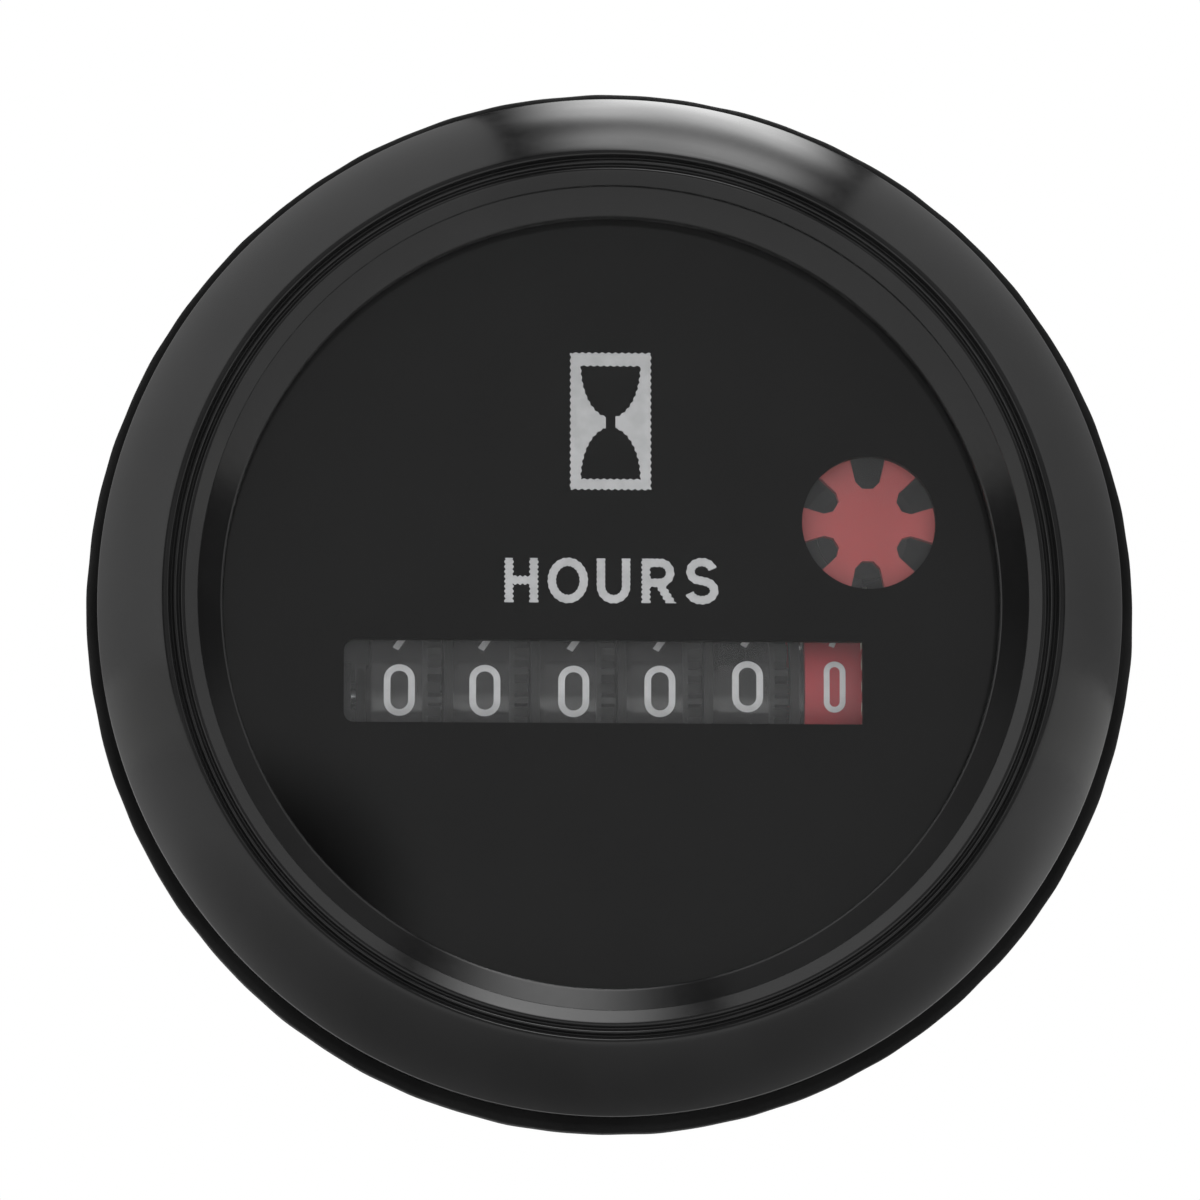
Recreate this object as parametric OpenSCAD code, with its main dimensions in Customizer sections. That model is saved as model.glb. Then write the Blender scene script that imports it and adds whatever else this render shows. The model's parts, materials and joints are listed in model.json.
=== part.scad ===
// Round panel hour meter: bezel, lens, dial, number counter, stepping motor, case and clamp.
// The front faces -Y, X runs to the right and Z up. The origin is on the axis, in the plane where the
// rubber gasket meets the panel. All sizes are in millimetres.

/* [Bezel] */
// Outer diameter of the bezel
bezel_d = 60; // [59:0.5:64]
// Straight height of the bezel's flank
bezel_flank = 2; // [1.8:0.1:3]
// Rise of the domed front above the flank
bezel_rise = 4.5; // [4:0.1:6]
// Bulge of the domed front over a straight cone
dome_bulge = 0.5; // [0.2:0.05:0.7]
// Width of the flat crest between the groove and the dome
crest_w = 0.45; // [0.2:0.05:1]
// Distance between the two crest grooves
groove_pitch = 0.44; // [0.4:0.02:0.6]
// Depth of the crest grooves
groove_depth = 0.4; // [0.2:0.05:0.6]
// How far the lip reaches in over the dial
lip_cover = 1.75; // [1.5:0.05:2.5]
// Radial width of the sloped lip
lip_w = 1.45; // [1:0.05:1.8]
// Rise of the sloped lip
lip_rise = 0.6; // [0.3:0.05:1]
// Thickness of the lip at its edge
lip_t = 0.6; // [0.5:0.05:1]
// Radial width of the chamfer above the inner wall
inner_wall_w = 0.9; // [0.7:0.05:1.2]
// Depth of the chamfer above the inner wall
inner_wall_h = 0.65; // [0.4:0.05:1]
// Wall of the bezel around the case flange
skirt_t = 1.3; // [1:0.1:1.6]
// Thickness of the edge that is rolled under the case flange
roll_t = 0.6; // [0.4:0.05:0.9]
// Radial width of the rolled edge under the flange
roll_w = 1.4; // [0.8:0.1:1.6]

/* [Panel gasket] */
// Thickness of the rubber ring
gasket_t = 2; // [1:0.1:3]
// How far the ring stands out past the bezel
gasket_reach = 0.9; // [0.3:0.1:1.5]

/* [Lens and dial] */
// Thickness of the lens
lens_t = 1.5; // [1:0.1:2]
// Radial width of the lens seat in the case
lens_seat_w = 1; // [0.7:0.05:1.2]
// Thickness of the lens gasket
lens_gasket_t = 0.5; // [0.3:0.05:0.8]
// Thickness of the dial
dial_t = 0.8; // [0.5:0.05:1.2]
// Width of the counter window
window_w = 30.4; // [29:0.1:31.5]
// Height of the counter window
window_h = 4.9; // [4:0.1:6]
// Corner radius at the left end of the counter window
window_corner = 0.6; // [0.3:0.05:1]
// Offset of the counter window from the middle of the counter
window_shift = -0.85; // [-1.2:0.05:0]
// Diameter of the indicator window
indicator_window_d = 7.9; // [6:0.1:8.5]

/* [Case] */
// How far the bezel stands out past the case barrel
bezel_overhang = 4.2; // [4:0.1:4.5]
// Wall of the case barrel
case_wall = 1.4; // [1.2:0.05:1.6]
// Thickness of the case flange
flange_t = 0.9; // [0.8:0.05:1.2]
// Depth of the lens seat below the front of the flange
seat_depth = 0.8; // [0.6:0.05:0.9]
// Radial width of the ledge under the dial
ledge_w = 1.2; // [0.8:0.1:1.6]
// Thickness of the ledge under the dial
ledge_t = 1.2; // [0.8:0.1:1.6]
// Thickness of the rear wall
rear_t = 1.5; // [1.2:0.1:2.5]
// Radius of the bosses that carry the main plate
boss_r = 2.2; // [1.9:0.1:2.5]

/* [Counter] */
// Distance between neighbouring number wheels
wheel_pitch = 5.1; // [5:0.05:5.2]
// Middle of the counter from the axis of the case
counter_x = 0.45; // [0:0.05:0.8]
// Height of the counter axis
counter_z = -4.5; // [-5:0.1:-4]
// Radius of the number wheels
wheel_r = 5.8; // [5.7:0.05:5.9]
// Width of the rim that carries the numbers
rim_w = 3.3; // [3.1:0.05:3.4]
// Width of the gear and of the carry ring beside each rim
side_w = 0.8; // [0.6:0.05:0.82]
// Radius of the hubs of the number wheels
wheel_hub_r = 1.8; // [1.5:0.1:2.2]
// Radius of the counter shaft
counter_shaft_r = 0.8; // [0.6:0.05:1]
// Radius of the pinion shaft
pinion_shaft_r = 0.6; // [0.4:0.05:0.7]
// Tooth module of the carry gears
carry_module = 0.5; // [0.48:0.01:0.52]
// Radius of the disc that locks a carry pinion
lock_r = 5.05; // [4.9:0.01:5.1]
// Thickness of the cheeks that carry the shafts
cheek_t = 1.2; // [1:0.1:1.5]

/* [Drive] */
// Tooth module of the worm and its wheel
worm_module = 0.42; // [0.41:0.005:0.43]
// Pitch radius of the worm
worm_r = 3.2; // [3.1:0.05:3.4]
// Turns of the worm thread
worm_turns = 3; // [2:0.5:3.5]
// Face width of the worm wheel
worm_wheel_w = 0.7; // [0.5:0.05:0.8]
// Radius of the arbor behind the indicator
arbor_r = 0.6; // [0.5:0.05:0.8]
// Outer radius of the indicator wheel
indicator_r = 4.6; // [4.3:0.1:4.8]
// Thickness of the indicator wheel
indicator_t = 0.8; // [0.5:0.05:1]
// Width of the notches in the indicator wheel at their root
notch_w = 1.45; // [1.1:0.05:1.6]
// Corner at the root of the notches in the indicator wheel
notch_corner = 0.4; // [0.2:0.05:0.5]
// Width of the notches in the indicator wheel at its rim
notch_mouth_w = 2.4; // [1.6:0.05:2.8]
// Radius at which the notches end
notch_root_r = 2.15; // [1.8:0.05:2.6]
// Tooth module of the gear on the indicator arbor and its pinion
arbor_module = 0.35; // [0.34:0.005:0.36]
// Tooth module of the rotor pinion and its gear
rotor_module = 0.3; // [0.29:0.005:0.31]
// Face width of the train gears
train_w = 0.8; // [0.6:0.05:1]
// Direction from the indicator arbor to the intermediate gear
arbor_to_gear = 162; // [158:1:166]
// Direction from the intermediate gear to the rotor
gear_to_rotor = 175; // [172:1:178]

/* [Motor] */
// Radius of the rotor magnet
magnet_r = 2; // [1.6:0.1:2.1]
// Air gap around the rotor magnet
air_gap = 0.4; // [0.3:0.05:0.6]
// Thickness of the stator plate
stator_t = 0.8; // [0.6:0.05:0.9]
// Half width of the stator around the rotor
stator_half_w = 3.6; // [3.2:0.1:4]
// Length of the coil over its flanges
coil_len = 12; // [10:0.5:12.5]
// Distance between the rotor and the coil
coil_distance = 8.5; // [8:0.1:9]
// Radius of the winding
winding_r = 2.25; // [2:0.05:2.3]
// Width of the coil core
core_w = 2.4; // [2:0.1:2.6]
// Thickness of the coil core
core_t = 1.2; // [1:0.05:1.3]

/* [Plates and board] */
// Gap between the largest gear of the movement and the wall of the case
movement_gap = 1.1; // [0.8:0.05:1.5]
// Thickness of the main plate
plate_t = 1.4; // [1.2:0.1:2]
// Room for the gear train behind the main plate
train_room = 5.2; // [5.1:0.1:6]
// Thickness of the train bridge
bridge_t = 1.2; // [1:0.1:1.5]
// Room between the bridge and the circuit board
board_gap = 2.8; // [1.6:0.1:4]
// Thickness of the circuit board
board_t = 1.6; // [1:0.1:2]
// Radius of the circuit board
board_r = 19; // [18.5:0.1:19.5]
// Room between the circuit board and the rear wall
parts_room = 6.8; // [6.4:0.1:9]
// Radius of the small screws
screw_r = 0.7; // [0.6:0.05:0.8]
// Radius of the small screw heads
screw_head_r = 1.6; // [1.4:0.1:1.7]
// Height of the small screw heads
screw_head_h = 1; // [0.7:0.05:1.2]

/* [Mounting] */
// Width of the blade terminals
blade_w = 6.3; // [4.8:0.1:6.6]
// Thickness of the blade terminals
blade_t = 0.8; // [0.5:0.05:1]
// Length of the blades behind the case
blade_out = 8.5; // [7:0.5:12]
// Distance between the blade terminals
blade_pitch = 12; // [11:0.5:14]
// Height of the blade terminals
blade_z = -11; // [-12:0.5:-9.5]
// Radius of the mounting studs
stud_r = 2; // [1.5:0.1:2.5]
// Distance between the mounting studs
stud_pitch = 26; // [24:0.5:28]
// Length of the studs behind the case
stud_out = 13; // [11:0.5:20]
// Thickness of the bracket strap
strap_t = 1.5; // [1:0.1:2]
// Width of the bracket strap
strap_w = 12; // [10:0.5:14]
// Room between the case barrel and the bracket legs
leg_room = 1.8; // [1:0.1:3]
// Panel thickness that the bracket is set for
panel_t = 3; // [2.2:0.1:6]
// Gap between the rear wall and the bracket
bracket_gap = 0.5; // [0.3:0.1:3]
// Thickness of the spring washers
washer_t = 0.9; // [0.6:0.05:1.2]
// Thickness of the nuts
nut_t = 3.2; // [2:0.1:4]
// Width of the nuts across flats
nut_af = 7; // [6.5:0.5:8]

/* [Fits] */
// Radial clearance of a shaft that turns in its hole
running = 0.04; // [0.02:0.01:0.08]
// Radial clearance of a piece that is fixed in its hole
fixed_fit = 0.02; // [0.01:0.01:0.05]
// Clearance around the lens, the dial and the flange
seat_fit = 0.1; // [0.05:0.01:0.15]
// Play between the flanks of two gears
tooth_play = 0.14; // [0.12:0.01:0.16]

/* [Hidden] */
$fn = 64;

// Reach of a cut past the face it opens
cut = 0.5;
// Small gap between pieces that move past each other
side_gap = 0.15;

// Front stack, from the panel plane forward
bezel_r = bezel_d / 2;
bezel_rear_y = -gasket_t;
edge_y = bezel_rear_y - bezel_flank;
crest_y = edge_y - bezel_rise;
flange_rear_y = bezel_rear_y - roll_t;
flange_front_y = flange_rear_y - flange_t;
seat_y = flange_front_y + seat_depth;
lens_rear_y = seat_y - lens_gasket_t;
lens_front_y = lens_rear_y - lens_t;
lip_front_y = lens_front_y - lip_t;
dial_rear_y = seat_y + dial_t;

// Radii of the front stack
case_r = bezel_r - bezel_overhang;
case_ir = case_r - case_wall;
lens_r = case_ir + lens_seat_w;
lens_pocket_r = lens_r + seat_fit;
dial_r = case_ir - seat_fit;
aperture_r = case_ir - lip_cover;
crease_r = aperture_r + lip_w;
wall_top_r = crease_r + inner_wall_w;
inner_groove_r = wall_top_r + groove_pitch / 2;
outer_groove_r = inner_groove_r + groove_pitch;
crest_in_r = outer_groove_r + groove_pitch / 2;
dome_in_r = crest_in_r + crest_w;
flange_r = bezel_r - skirt_t - seat_fit;
gasket_r = bezel_r + gasket_reach;

// Circle that shapes the dome, through the crest and the edge
dome_chord = [bezel_r - dome_in_r, edge_y - crest_y];
dome_half = norm(dome_chord) / 2;
dome_r = (dome_half * dome_half + dome_bulge * dome_bulge) / (2 * dome_bulge);
dome_out = [dome_chord[1], -dome_chord[0]] / norm(dome_chord);
dome_c = [(bezel_r + dome_in_r) / 2, (edge_y + crest_y) / 2] - (dome_r - dome_bulge) * dome_out;

// Gears
pressure = 20;
wheel_teeth = 20;
pinion_teeth = 8;
worm_wheel_teeth = 30;
arbor_teeth = 40;
intermediate_teeth = 48;
addendum = 0.85;
dedendum = 1.2;
carry_gear_r = carry_module * wheel_teeth / 2;
carry_pinion_r = carry_module * pinion_teeth / 2;
worm_wheel_r = worm_module * worm_wheel_teeth / 2;
worm_wheel_tip_r = worm_wheel_r + addendum * worm_module;
worm_tip_r = worm_r + addendum * worm_module;
worm_core_r = worm_r - dedendum * worm_module;
worm_lead = PI * worm_module;
arbor_gear_r = arbor_module * arbor_teeth / 2;
arbor_gear_tip_r = arbor_gear_r + addendum * arbor_module;
arbor_pinion_r = arbor_module * pinion_teeth / 2;
intermediate_r = rotor_module * intermediate_teeth / 2;
intermediate_tip_r = intermediate_r + addendum * rotor_module;
rotor_pinion_r = rotor_module * pinion_teeth / 2;

// Counter places
wheel_count = 6;
last = wheel_count - 1;
wheel_gap = wheel_pitch - rim_w;
dial_gap = 0.3;
counter_y = dial_rear_y + dial_gap + worm_wheel_tip_r;
carry_distance = carry_gear_r + carry_pinion_r;
pinion_z = counter_z - carry_distance;
hub_play = 0.1;
hub_w = wheel_pitch - hub_play;
pinion_w = wheel_gap - 2 * side_gap;
cheek_gap = 0.3;
cheek_left_x = wheel_x(0) - hub_w / 2 - cheek_gap - cheek_t;
cheek_right_x = wheel_x(last) + max(hub_w / 2, rim_w / 2 + worm_wheel_w) + cheek_gap;
cheek_round = 2;
lug_gap = 0.2;
lug_r = carry_distance - wheel_r - lug_gap;
lug_x = wheel_x(last) - cheek_t / 2;
shaft_end = 0.6;
function wheel_x(i) = counter_x + (i - last / 2) * wheel_pitch;

// Arbors of the train, seen from the front
arbor_p = [
    wheel_x(last) + rim_w / 2 + worm_wheel_w / 2,
    counter_z + worm_wheel_r + worm_r
];
gear_p = arbor_p + polar(arbor_gear_r + arbor_pinion_r, arbor_to_gear);
rotor_p = gear_p + polar(intermediate_r + rotor_pinion_r, gear_to_rotor);
coil_p = rotor_p - [coil_distance, 0];
indicator_web = 0.3;
indicator_y = dial_rear_y + dial_gap;
arbor_end_y = indicator_y + indicator_web;

// Inner radius that the movement needs, its scale in the case, and the place there of one of its planes
movement_case_r = norm(arbor_p) + arbor_gear_tip_r + movement_gap;
movement_scale = case_ir / movement_case_r;
function deep(y) = dial_rear_y + movement_scale * (y - dial_rear_y);

// Planes behind the counter
plate_gap = 0.4;
plate_y = counter_y + worm_wheel_tip_r + plate_gap;
plate_rear_y = plate_y + plate_t;
bridge_y = plate_rear_y + train_room;
bridge_rear_y = bridge_y + bridge_t;
board_y = bridge_rear_y + board_gap;
board_rear_y = board_y + board_t;
wall_y = board_rear_y + parts_room;
inner_y = deep(wall_y);
back_y = inner_y + rear_t;
plate_edge_gap = 0.5;
plate_r = movement_case_r - plate_edge_gap;

// Layers of the train room
stator_lift = 1.2;
stator_y = plate_rear_y + stator_lift;
core_y = stator_y + stator_t;
coil_y = core_y + core_t / 2;
low_gear_lift = 1.1;
low_gear_y = plate_rear_y + low_gear_lift;
high_gear_drop = 1.8;
high_gear_y = bridge_y - high_gear_drop;
pinion_extra = 0.3;
magnet_reach = 0.3;
arm_h = 3;
coil_end_gap = 0.2;
arm_z = coil_len / 2 + coil_end_gap;
arm_mid = arm_z + arm_h / 2;
flange_w = 0.7;
bobbin_wall = 0.5;
bobbin_rim = 0.2;
bobbin_r = winding_r + bobbin_rim;
coil_pin_r = flange_w / 3;
coil_pin_end = 0.3;
small_arbor_r = 0.5;
pivot_in = 0.2;

// Bosses, posts and screws
boss_sunk = 0.3;
boss_ring = movement_case_r - boss_r + boss_sunk;
boss_angles = [90, 205, 335];
post_r = 1.6;
post_gap = 0.7;
gear_post_ring = intermediate_tip_r + post_r + post_gap;
arbor_post_ring = arbor_gear_tip_r + post_r + post_gap;
gear_post_angles = [104, 256];
arbor_post_angle = 260;
posts = [
    gear_p + polar(gear_post_ring, gear_post_angles[0]),
    gear_p + polar(gear_post_ring, gear_post_angles[1]),
    arbor_p + polar(arbor_post_ring, arbor_post_angle)
];
board_post_r = 2;
board_posts = [[-11, 11], [11, 11], [0, -16]];
screw_in = 4;
bridge_end_r = 2.2;
bridge_bar_half = 1.5;

// Electronics on the rear face of the board
crystal_r = 1.5;
crystal_len = 6;
crystal_p = [9, 3];
chip = [9.4, 6.4, 3.3];
chip_p = [-3, 4];
capacitor_r = 2.5;
capacitor_h = 5.5;
capacitor_p = [-3, -4.5];
resistor_r = 1.2;
resistor_len = 6.5;
resistor_p = [7, -4];

// Terminals and studs
blade_slot_fit = 0.1;
blade_tail_w = 2;
blade_tail = 1.5;
blade_shoulder = 1.1;
blade_shoulder_h = 1.2;
blade_hole_r = 0.9;
blade_hole_in = 3.2;
blade_bevel = 1;
stud_head_r = 3.2;
stud_head_h = 1.2;
stud_fit = 0.2;

// Bracket behind the case
bracket_y = back_y + bracket_gap;
bracket_rear_y = bracket_y + strap_t;
leg_in_x = case_r + leg_room;
leg_out_x = leg_in_x + strap_t;
bend_r = 3;
washer_reach = 1.6;
washer_split = 0.8;

function polar(r, a) = [r * cos(a), r * sin(a)];
function involute(a) = tan(a) * 180 / PI - a;

// Half the angle of a tooth at radius r
function tooth_half(r, pitch_r, teeth) =
    90 / teeth - tooth_play / (4 * pitch_r) * 180 / PI
    + involute(pressure) - involute(acos(min(1, pitch_r * cos(pressure) / r)));

// One tooth as [radius, angle], up one flank and down the other
function tooth(teeth, m) =
    let (
        pitch_r = teeth * m / 2,
        root = pitch_r - dedendum * m,
        radii = [root, (root + pitch_r) / 2, pitch_r, pitch_r + addendum * m]
    )
    concat(
        [for (i = [0:3]) [radii[i], -tooth_half(radii[i], pitch_r, teeth)]],
        [for (i = [3:-1:0]) [radii[i], tooth_half(radii[i], pitch_r, teeth)]]
    );

// Gear outline with a tooth at angle 0; a larger step leaves teeth out
module gear_2d(teeth, m, first = 0, step = 1) {
    polygon([
        for (t = [first:step:teeth - 1])
            for (p = tooth(teeth, m)) polar(p[0], p[1] + 360 * t / teeth)
    ]);
    circle(teeth * m / 2 - dedendum * m);
}

// Wedge from the centre between two angles
module wedge_2d(from, to, reach) {
    polygon([[0, 0], polar(reach, from), polar(reach, to)]);
}

// Disc with one tooth space between two teeth, past the line of centres
module carry_2d() {
    space = 360 / wheel_teeth;
    reach = 2 * carry_gear_r;
    difference() {
        circle(lock_r);
        wedge_2d(-1.5 * space, -0.5 * space, reach);
    }
    intersection() {
        rotate(space / 2) gear_2d(wheel_teeth, carry_module);
        wedge_2d(-2 * space, 0, reach);
    }
    circle(carry_gear_r - dedendum * carry_module);
}

// Straight bar from one place to another
module bar_2d(a, b, half_w) {
    d = b - a;
    translate(a) rotate(atan2(d[1], d[0])) translate([0, -half_w]) square([norm(d), 2 * half_w]);
}

// Solid of revolution about Y from an outline of [radius, y]
module turned() {
    rotate([-90, 0, 0]) rotate_extrude() children();
}

// Outline seen from the front, from y to y + t
module facing(y, t) {
    translate([0, y + t, 0]) rotate([90, 0, 0]) linear_extrude(t) children();
}

// Cylinder along Y at a place seen from the front
module rod_y(p, r, y0, y1) {
    translate([p[0], y0, p[1]]) rotate([-90, 0, 0]) cylinder(h = y1 - y0, r = r);
}

// Outline in the plane across X, with its first axis down and its second to the rear
module across(x, t) {
    translate([x, 0, 0]) rotate([0, 90, 0]) linear_extrude(t) children();
}

// Frame with its origin on an axis along X
module on_axis(z) {
    translate([-z, counter_y]) children();
}

// Pieces of the movement, drawn in its own size and fitted to the case
module movement() {
    translate([0, dial_rear_y, 0]) scale(movement_scale) translate([0, -dial_rear_y, 0]) children();
}

module screw(p, head_y, towards) {
    tip_y = head_y + towards * screw_in;
    top_y = head_y - towards * screw_head_h;
    rod_y(p, screw_r, min(head_y, tip_y), max(head_y, tip_y));
    rod_y(p, screw_head_r, min(head_y, top_y), max(head_y, top_y));
}

module bezel() {
    color("#1c1c1d") turned() difference() {
        polygon([
            [aperture_r, lens_front_y], [aperture_r, lip_front_y],
            [crease_r, lip_front_y - lip_rise],
            [crease_r, crest_y + groove_depth / 4 + inner_wall_h],
            [wall_top_r, crest_y + groove_depth / 4],
            [inner_groove_r, crest_y + groove_depth],
            [inner_groove_r + groove_pitch / 2, crest_y + groove_depth / 4],
            [outer_groove_r, crest_y + groove_depth],
            [crest_in_r, crest_y],
            [bezel_r, crest_y], [bezel_r, bezel_rear_y],
            [flange_r - roll_w, bezel_rear_y], [flange_r - roll_w, flange_rear_y],
            [flange_r + seat_fit, flange_rear_y],
            [flange_r + seat_fit, flange_front_y - seat_fit],
            [lens_pocket_r, flange_front_y - seat_fit], [lens_pocket_r, lens_front_y]
        ]);
        difference() {
            translate([dome_in_r, crest_y - cut])
                square([bezel_r - dome_in_r + cut, edge_y - crest_y + cut]);
            translate(dome_c) circle(dome_r, $fn = 128);
        }
    }
}

module lens() {
    color("#c8d2d6", 0.25) rod_y([0, 0], lens_r, lens_front_y, lens_rear_y);
}

module lens_gasket() {
    color("#202020") turned()
        translate([dial_r - lip_cover / 2, lens_rear_y])
            square([lens_r - dial_r + lip_cover / 2, lens_gasket_t]);
}

module dial_plate() {
    color("#161617") facing(seat_y, dial_t) difference() {
        circle(dial_r);
        scale(movement_scale) {
            translate([counter_x + window_shift, counter_z]) window_2d();
            translate(arbor_p) circle(indicator_window_d / 2);
        }
    }
}

// Counter window with round corners at its left end
module window_2d() {
    translate([-window_w / 2 + window_corner, -window_h / 2])
        square([window_w - window_corner, window_h]);
    translate([-window_w / 2, -window_h / 2 + window_corner])
        square([window_w / 2, window_h - 2 * window_corner]);
    for (s = [-1, 1])
        translate([-window_w / 2 + window_corner, s * (window_h / 2 - window_corner)])
            circle(window_corner);
}

module panel_gasket() {
    color("#161616") turned()
        translate([case_r + seat_fit, -gasket_t]) square([gasket_r - case_r - seat_fit, gasket_t]);
}

// Slot for one blade through a wall of thickness t behind y
module blade_slot(s, w, y, t) {
    size = [w + 2 * blade_slot_fit, t + cut, blade_t + 2 * blade_slot_fit];
    translate([s * blade_pitch / 2, y + t / 2, blade_z]) cube(size, center = true);
}

module case() {
    color("#232324") difference() {
        union() {
            turned() polygon([
                [lens_pocket_r, flange_front_y], [flange_r, flange_front_y],
                [flange_r, flange_rear_y], [case_r, flange_rear_y],
                [case_r, back_y], [0, back_y], [0, inner_y], [case_ir, inner_y],
                [case_ir, dial_rear_y + ledge_t], [case_ir - ledge_w, dial_rear_y + ledge_t],
                [case_ir - ledge_w, dial_rear_y], [case_ir, dial_rear_y],
                [case_ir, seat_y], [lens_pocket_r, seat_y]
            ]);
            movement() {
                for (a = boss_angles)
                    rod_y(polar(boss_ring, a), boss_r, plate_rear_y, wall_y + cut);
                for (p = board_posts) rod_y(p, board_post_r, board_rear_y, wall_y + cut);
            }
        }
        movement() {
            for (a = boss_angles)
                rod_y(polar(boss_ring, a), screw_r + fixed_fit, plate_rear_y - cut,
                    plate_rear_y + screw_in);
            for (p = board_posts)
                rod_y(p, screw_r + fixed_fit, board_rear_y - cut, board_rear_y + screw_in);
        }
        for (s = [-1, 1]) {
            blade_slot(s, blade_w, inner_y, rear_t);
            rod_y([s * stud_pitch / 2, 0], stud_r + fixed_fit, inner_y - cut, back_y + cut);
        }
    }
}

// Upright that carries one end of a shaft, with a foot back to the main plate
module upright_2d(z, end_r, hole_r) {
    on_axis(z) difference() {
        union() {
            circle(end_r);
            translate([-end_r, 0]) square([2 * end_r, plate_y + plate_t / 2 - counter_y]);
        }
        circle(hole_r + fixed_fit);
    }
}

module main_plate() {
    color("#d8d6cc") movement() difference() {
        union() {
            rod_y([0, 0], plate_r, plate_y, plate_rear_y);
            for (x = [cheek_left_x, cheek_right_x])
                across(x, cheek_t) upright_2d(counter_z, cheek_round, counter_shaft_r);
            for (x = [cheek_left_x, lug_x])
                across(x, cheek_t) upright_2d(pinion_z, lug_r, pinion_shaft_r);
            for (p = posts) rod_y(p, post_r, plate_rear_y - plate_t / 2, bridge_y);
            for (s = [-1, 1]) {
                for (p = [coil_p, rotor_p])
                    rod_y(p + [0, s * arm_mid], post_r, plate_rear_y - plate_t / 2, stator_y);
            }
        }
        for (a = boss_angles)
            rod_y(polar(boss_ring, a), screw_r + stud_fit, plate_y - cut, plate_rear_y + cut);
        for (p = posts) rod_y(p, screw_r + fixed_fit, bridge_y - screw_in, bridge_y + cut);
        for (s = [-1, 1])
            rod_y(coil_p + [0, s * arm_mid], screw_r + fixed_fit,
                core_y + core_t - screw_in, stator_y + cut);
        rod_y(arbor_p, arbor_r + running, plate_y - cut, plate_rear_y + cut);
        rod_y(gear_p, small_arbor_r + running, plate_y - cut, plate_rear_y + cut);
        rod_y(rotor_p, small_arbor_r + running, plate_y - cut, plate_rear_y + cut);
    }
}

// Shaft along X through two uprights
module upright_shaft(z, r, last_upright_x) {
    x0 = cheek_left_x - shaft_end;
    x1 = last_upright_x + cheek_t + shaft_end;
    across(x0, x1 - x0) on_axis(z) circle(r);
}

module counter_shaft() {
    color("#b9bcc0") movement() upright_shaft(counter_z, counter_shaft_r, cheek_right_x);
}

module pinion_shaft() {
    color("#b9bcc0") movement() upright_shaft(pinion_z, pinion_shaft_r, lug_x);
}

// Number wheel: rim, hub, gear at its right and carry ring at its left
module number_wheel(i, has_gear, has_carry) {
    x = wheel_x(i);
    recess_w = rim_w / 2;
    difference() {
        union() {
            across(x - rim_w / 2, rim_w) on_axis(counter_z) circle(wheel_r);
            across(x - hub_w / 2, hub_w) on_axis(counter_z) circle(wheel_hub_r);
            if (has_gear)
                across(x + rim_w / 2 - side_gap, side_w + side_gap) on_axis(counter_z)
                    rotate(180 / wheel_teeth) gear_2d(wheel_teeth, carry_module);
            if (has_carry)
                across(x - rim_w / 2 - side_w, side_w + side_gap) on_axis(counter_z) carry_2d();
        }
        across(x - hub_w, 2 * hub_w) on_axis(counter_z) circle(counter_shaft_r + running);
        across(x - rim_w / 2 - side_w - cut, recess_w + side_w + cut) on_axis(counter_z) difference() {
            circle(carry_gear_r - 2 * dedendum * carry_module);
            circle(wheel_hub_r);
        }
    }
}

module ten_thousands_wheel() {
    color("#3a3a3b") movement() number_wheel(0, true, false);
}

module thousands_wheel() {
    color("#3a3a3b") movement() number_wheel(1, true, true);
}

module hundreds_wheel() {
    color("#3a3a3b") movement() number_wheel(2, true, true);
}

module tens_wheel() {
    color("#3a3a3b") movement() number_wheel(3, true, true);
}

module units_wheel() {
    color("#3a3a3b") movement() number_wheel(4, true, true);
}

module tenths_wheel() {
    color("#a6242c") movement() {
        number_wheel(last, false, true);
        across(wheel_x(last) + rim_w / 2, worm_wheel_w) on_axis(counter_z) difference() {
            gear_2d(worm_wheel_teeth, worm_module);
            circle(wheel_hub_r);
        }
    }
}

// Carry pinion between wheel i and the next: all teeth at its left, every second one at its right
module carry_pinion(i) {
    x = wheel_x(i) + wheel_pitch / 2;
    color("#e4e2d8") movement() difference() {
        union() {
            across(x - pinion_w / 2, pinion_w / 2) on_axis(pinion_z)
                gear_2d(pinion_teeth, carry_module);
            across(x, pinion_w / 2) on_axis(pinion_z)
                gear_2d(pinion_teeth, carry_module, 1, 2);
        }
        across(x - pinion_w, 2 * pinion_w) on_axis(pinion_z) circle(pinion_shaft_r + running);
    }
}

module ten_thousands_pinion() {
    carry_pinion(0);
}

module thousands_pinion() {
    carry_pinion(1);
}

module hundreds_pinion() {
    carry_pinion(2);
}

module tens_pinion() {
    carry_pinion(3);
}

module units_pinion() {
    carry_pinion(4);
}

// Outline of the indicator wheel with its flared notches
module indicator_2d() {
    notches = 6;
    difference() {
        circle(indicator_r);
        for (k = [1:notches]) rotate(360 * (k - 0.5) / notches)
            polygon([
                [notch_root_r, -notch_w / 2 + notch_corner],
                [notch_root_r + notch_corner, -notch_w / 2],
                [indicator_r, -notch_mouth_w / 2], [indicator_r + cut, -notch_mouth_w / 2],
                [indicator_r + cut, notch_mouth_w / 2], [indicator_r, notch_mouth_w / 2],
                [notch_root_r + notch_corner, notch_w / 2],
                [notch_root_r, notch_w / 2 - notch_corner]
            ]);
    }
}

module indicator_wheel() {
    color("#b02a30") movement() difference() {
        facing(indicator_y, indicator_t) translate(arbor_p) indicator_2d();
        rod_y(arbor_p, arbor_r + fixed_fit, arbor_end_y, indicator_y + indicator_t + cut);
    }
}

module worm_arbor() {
    color("#b9bcc0") movement() rod_y(arbor_p, arbor_r, arbor_end_y, bridge_rear_y - pivot_in);
}

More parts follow.
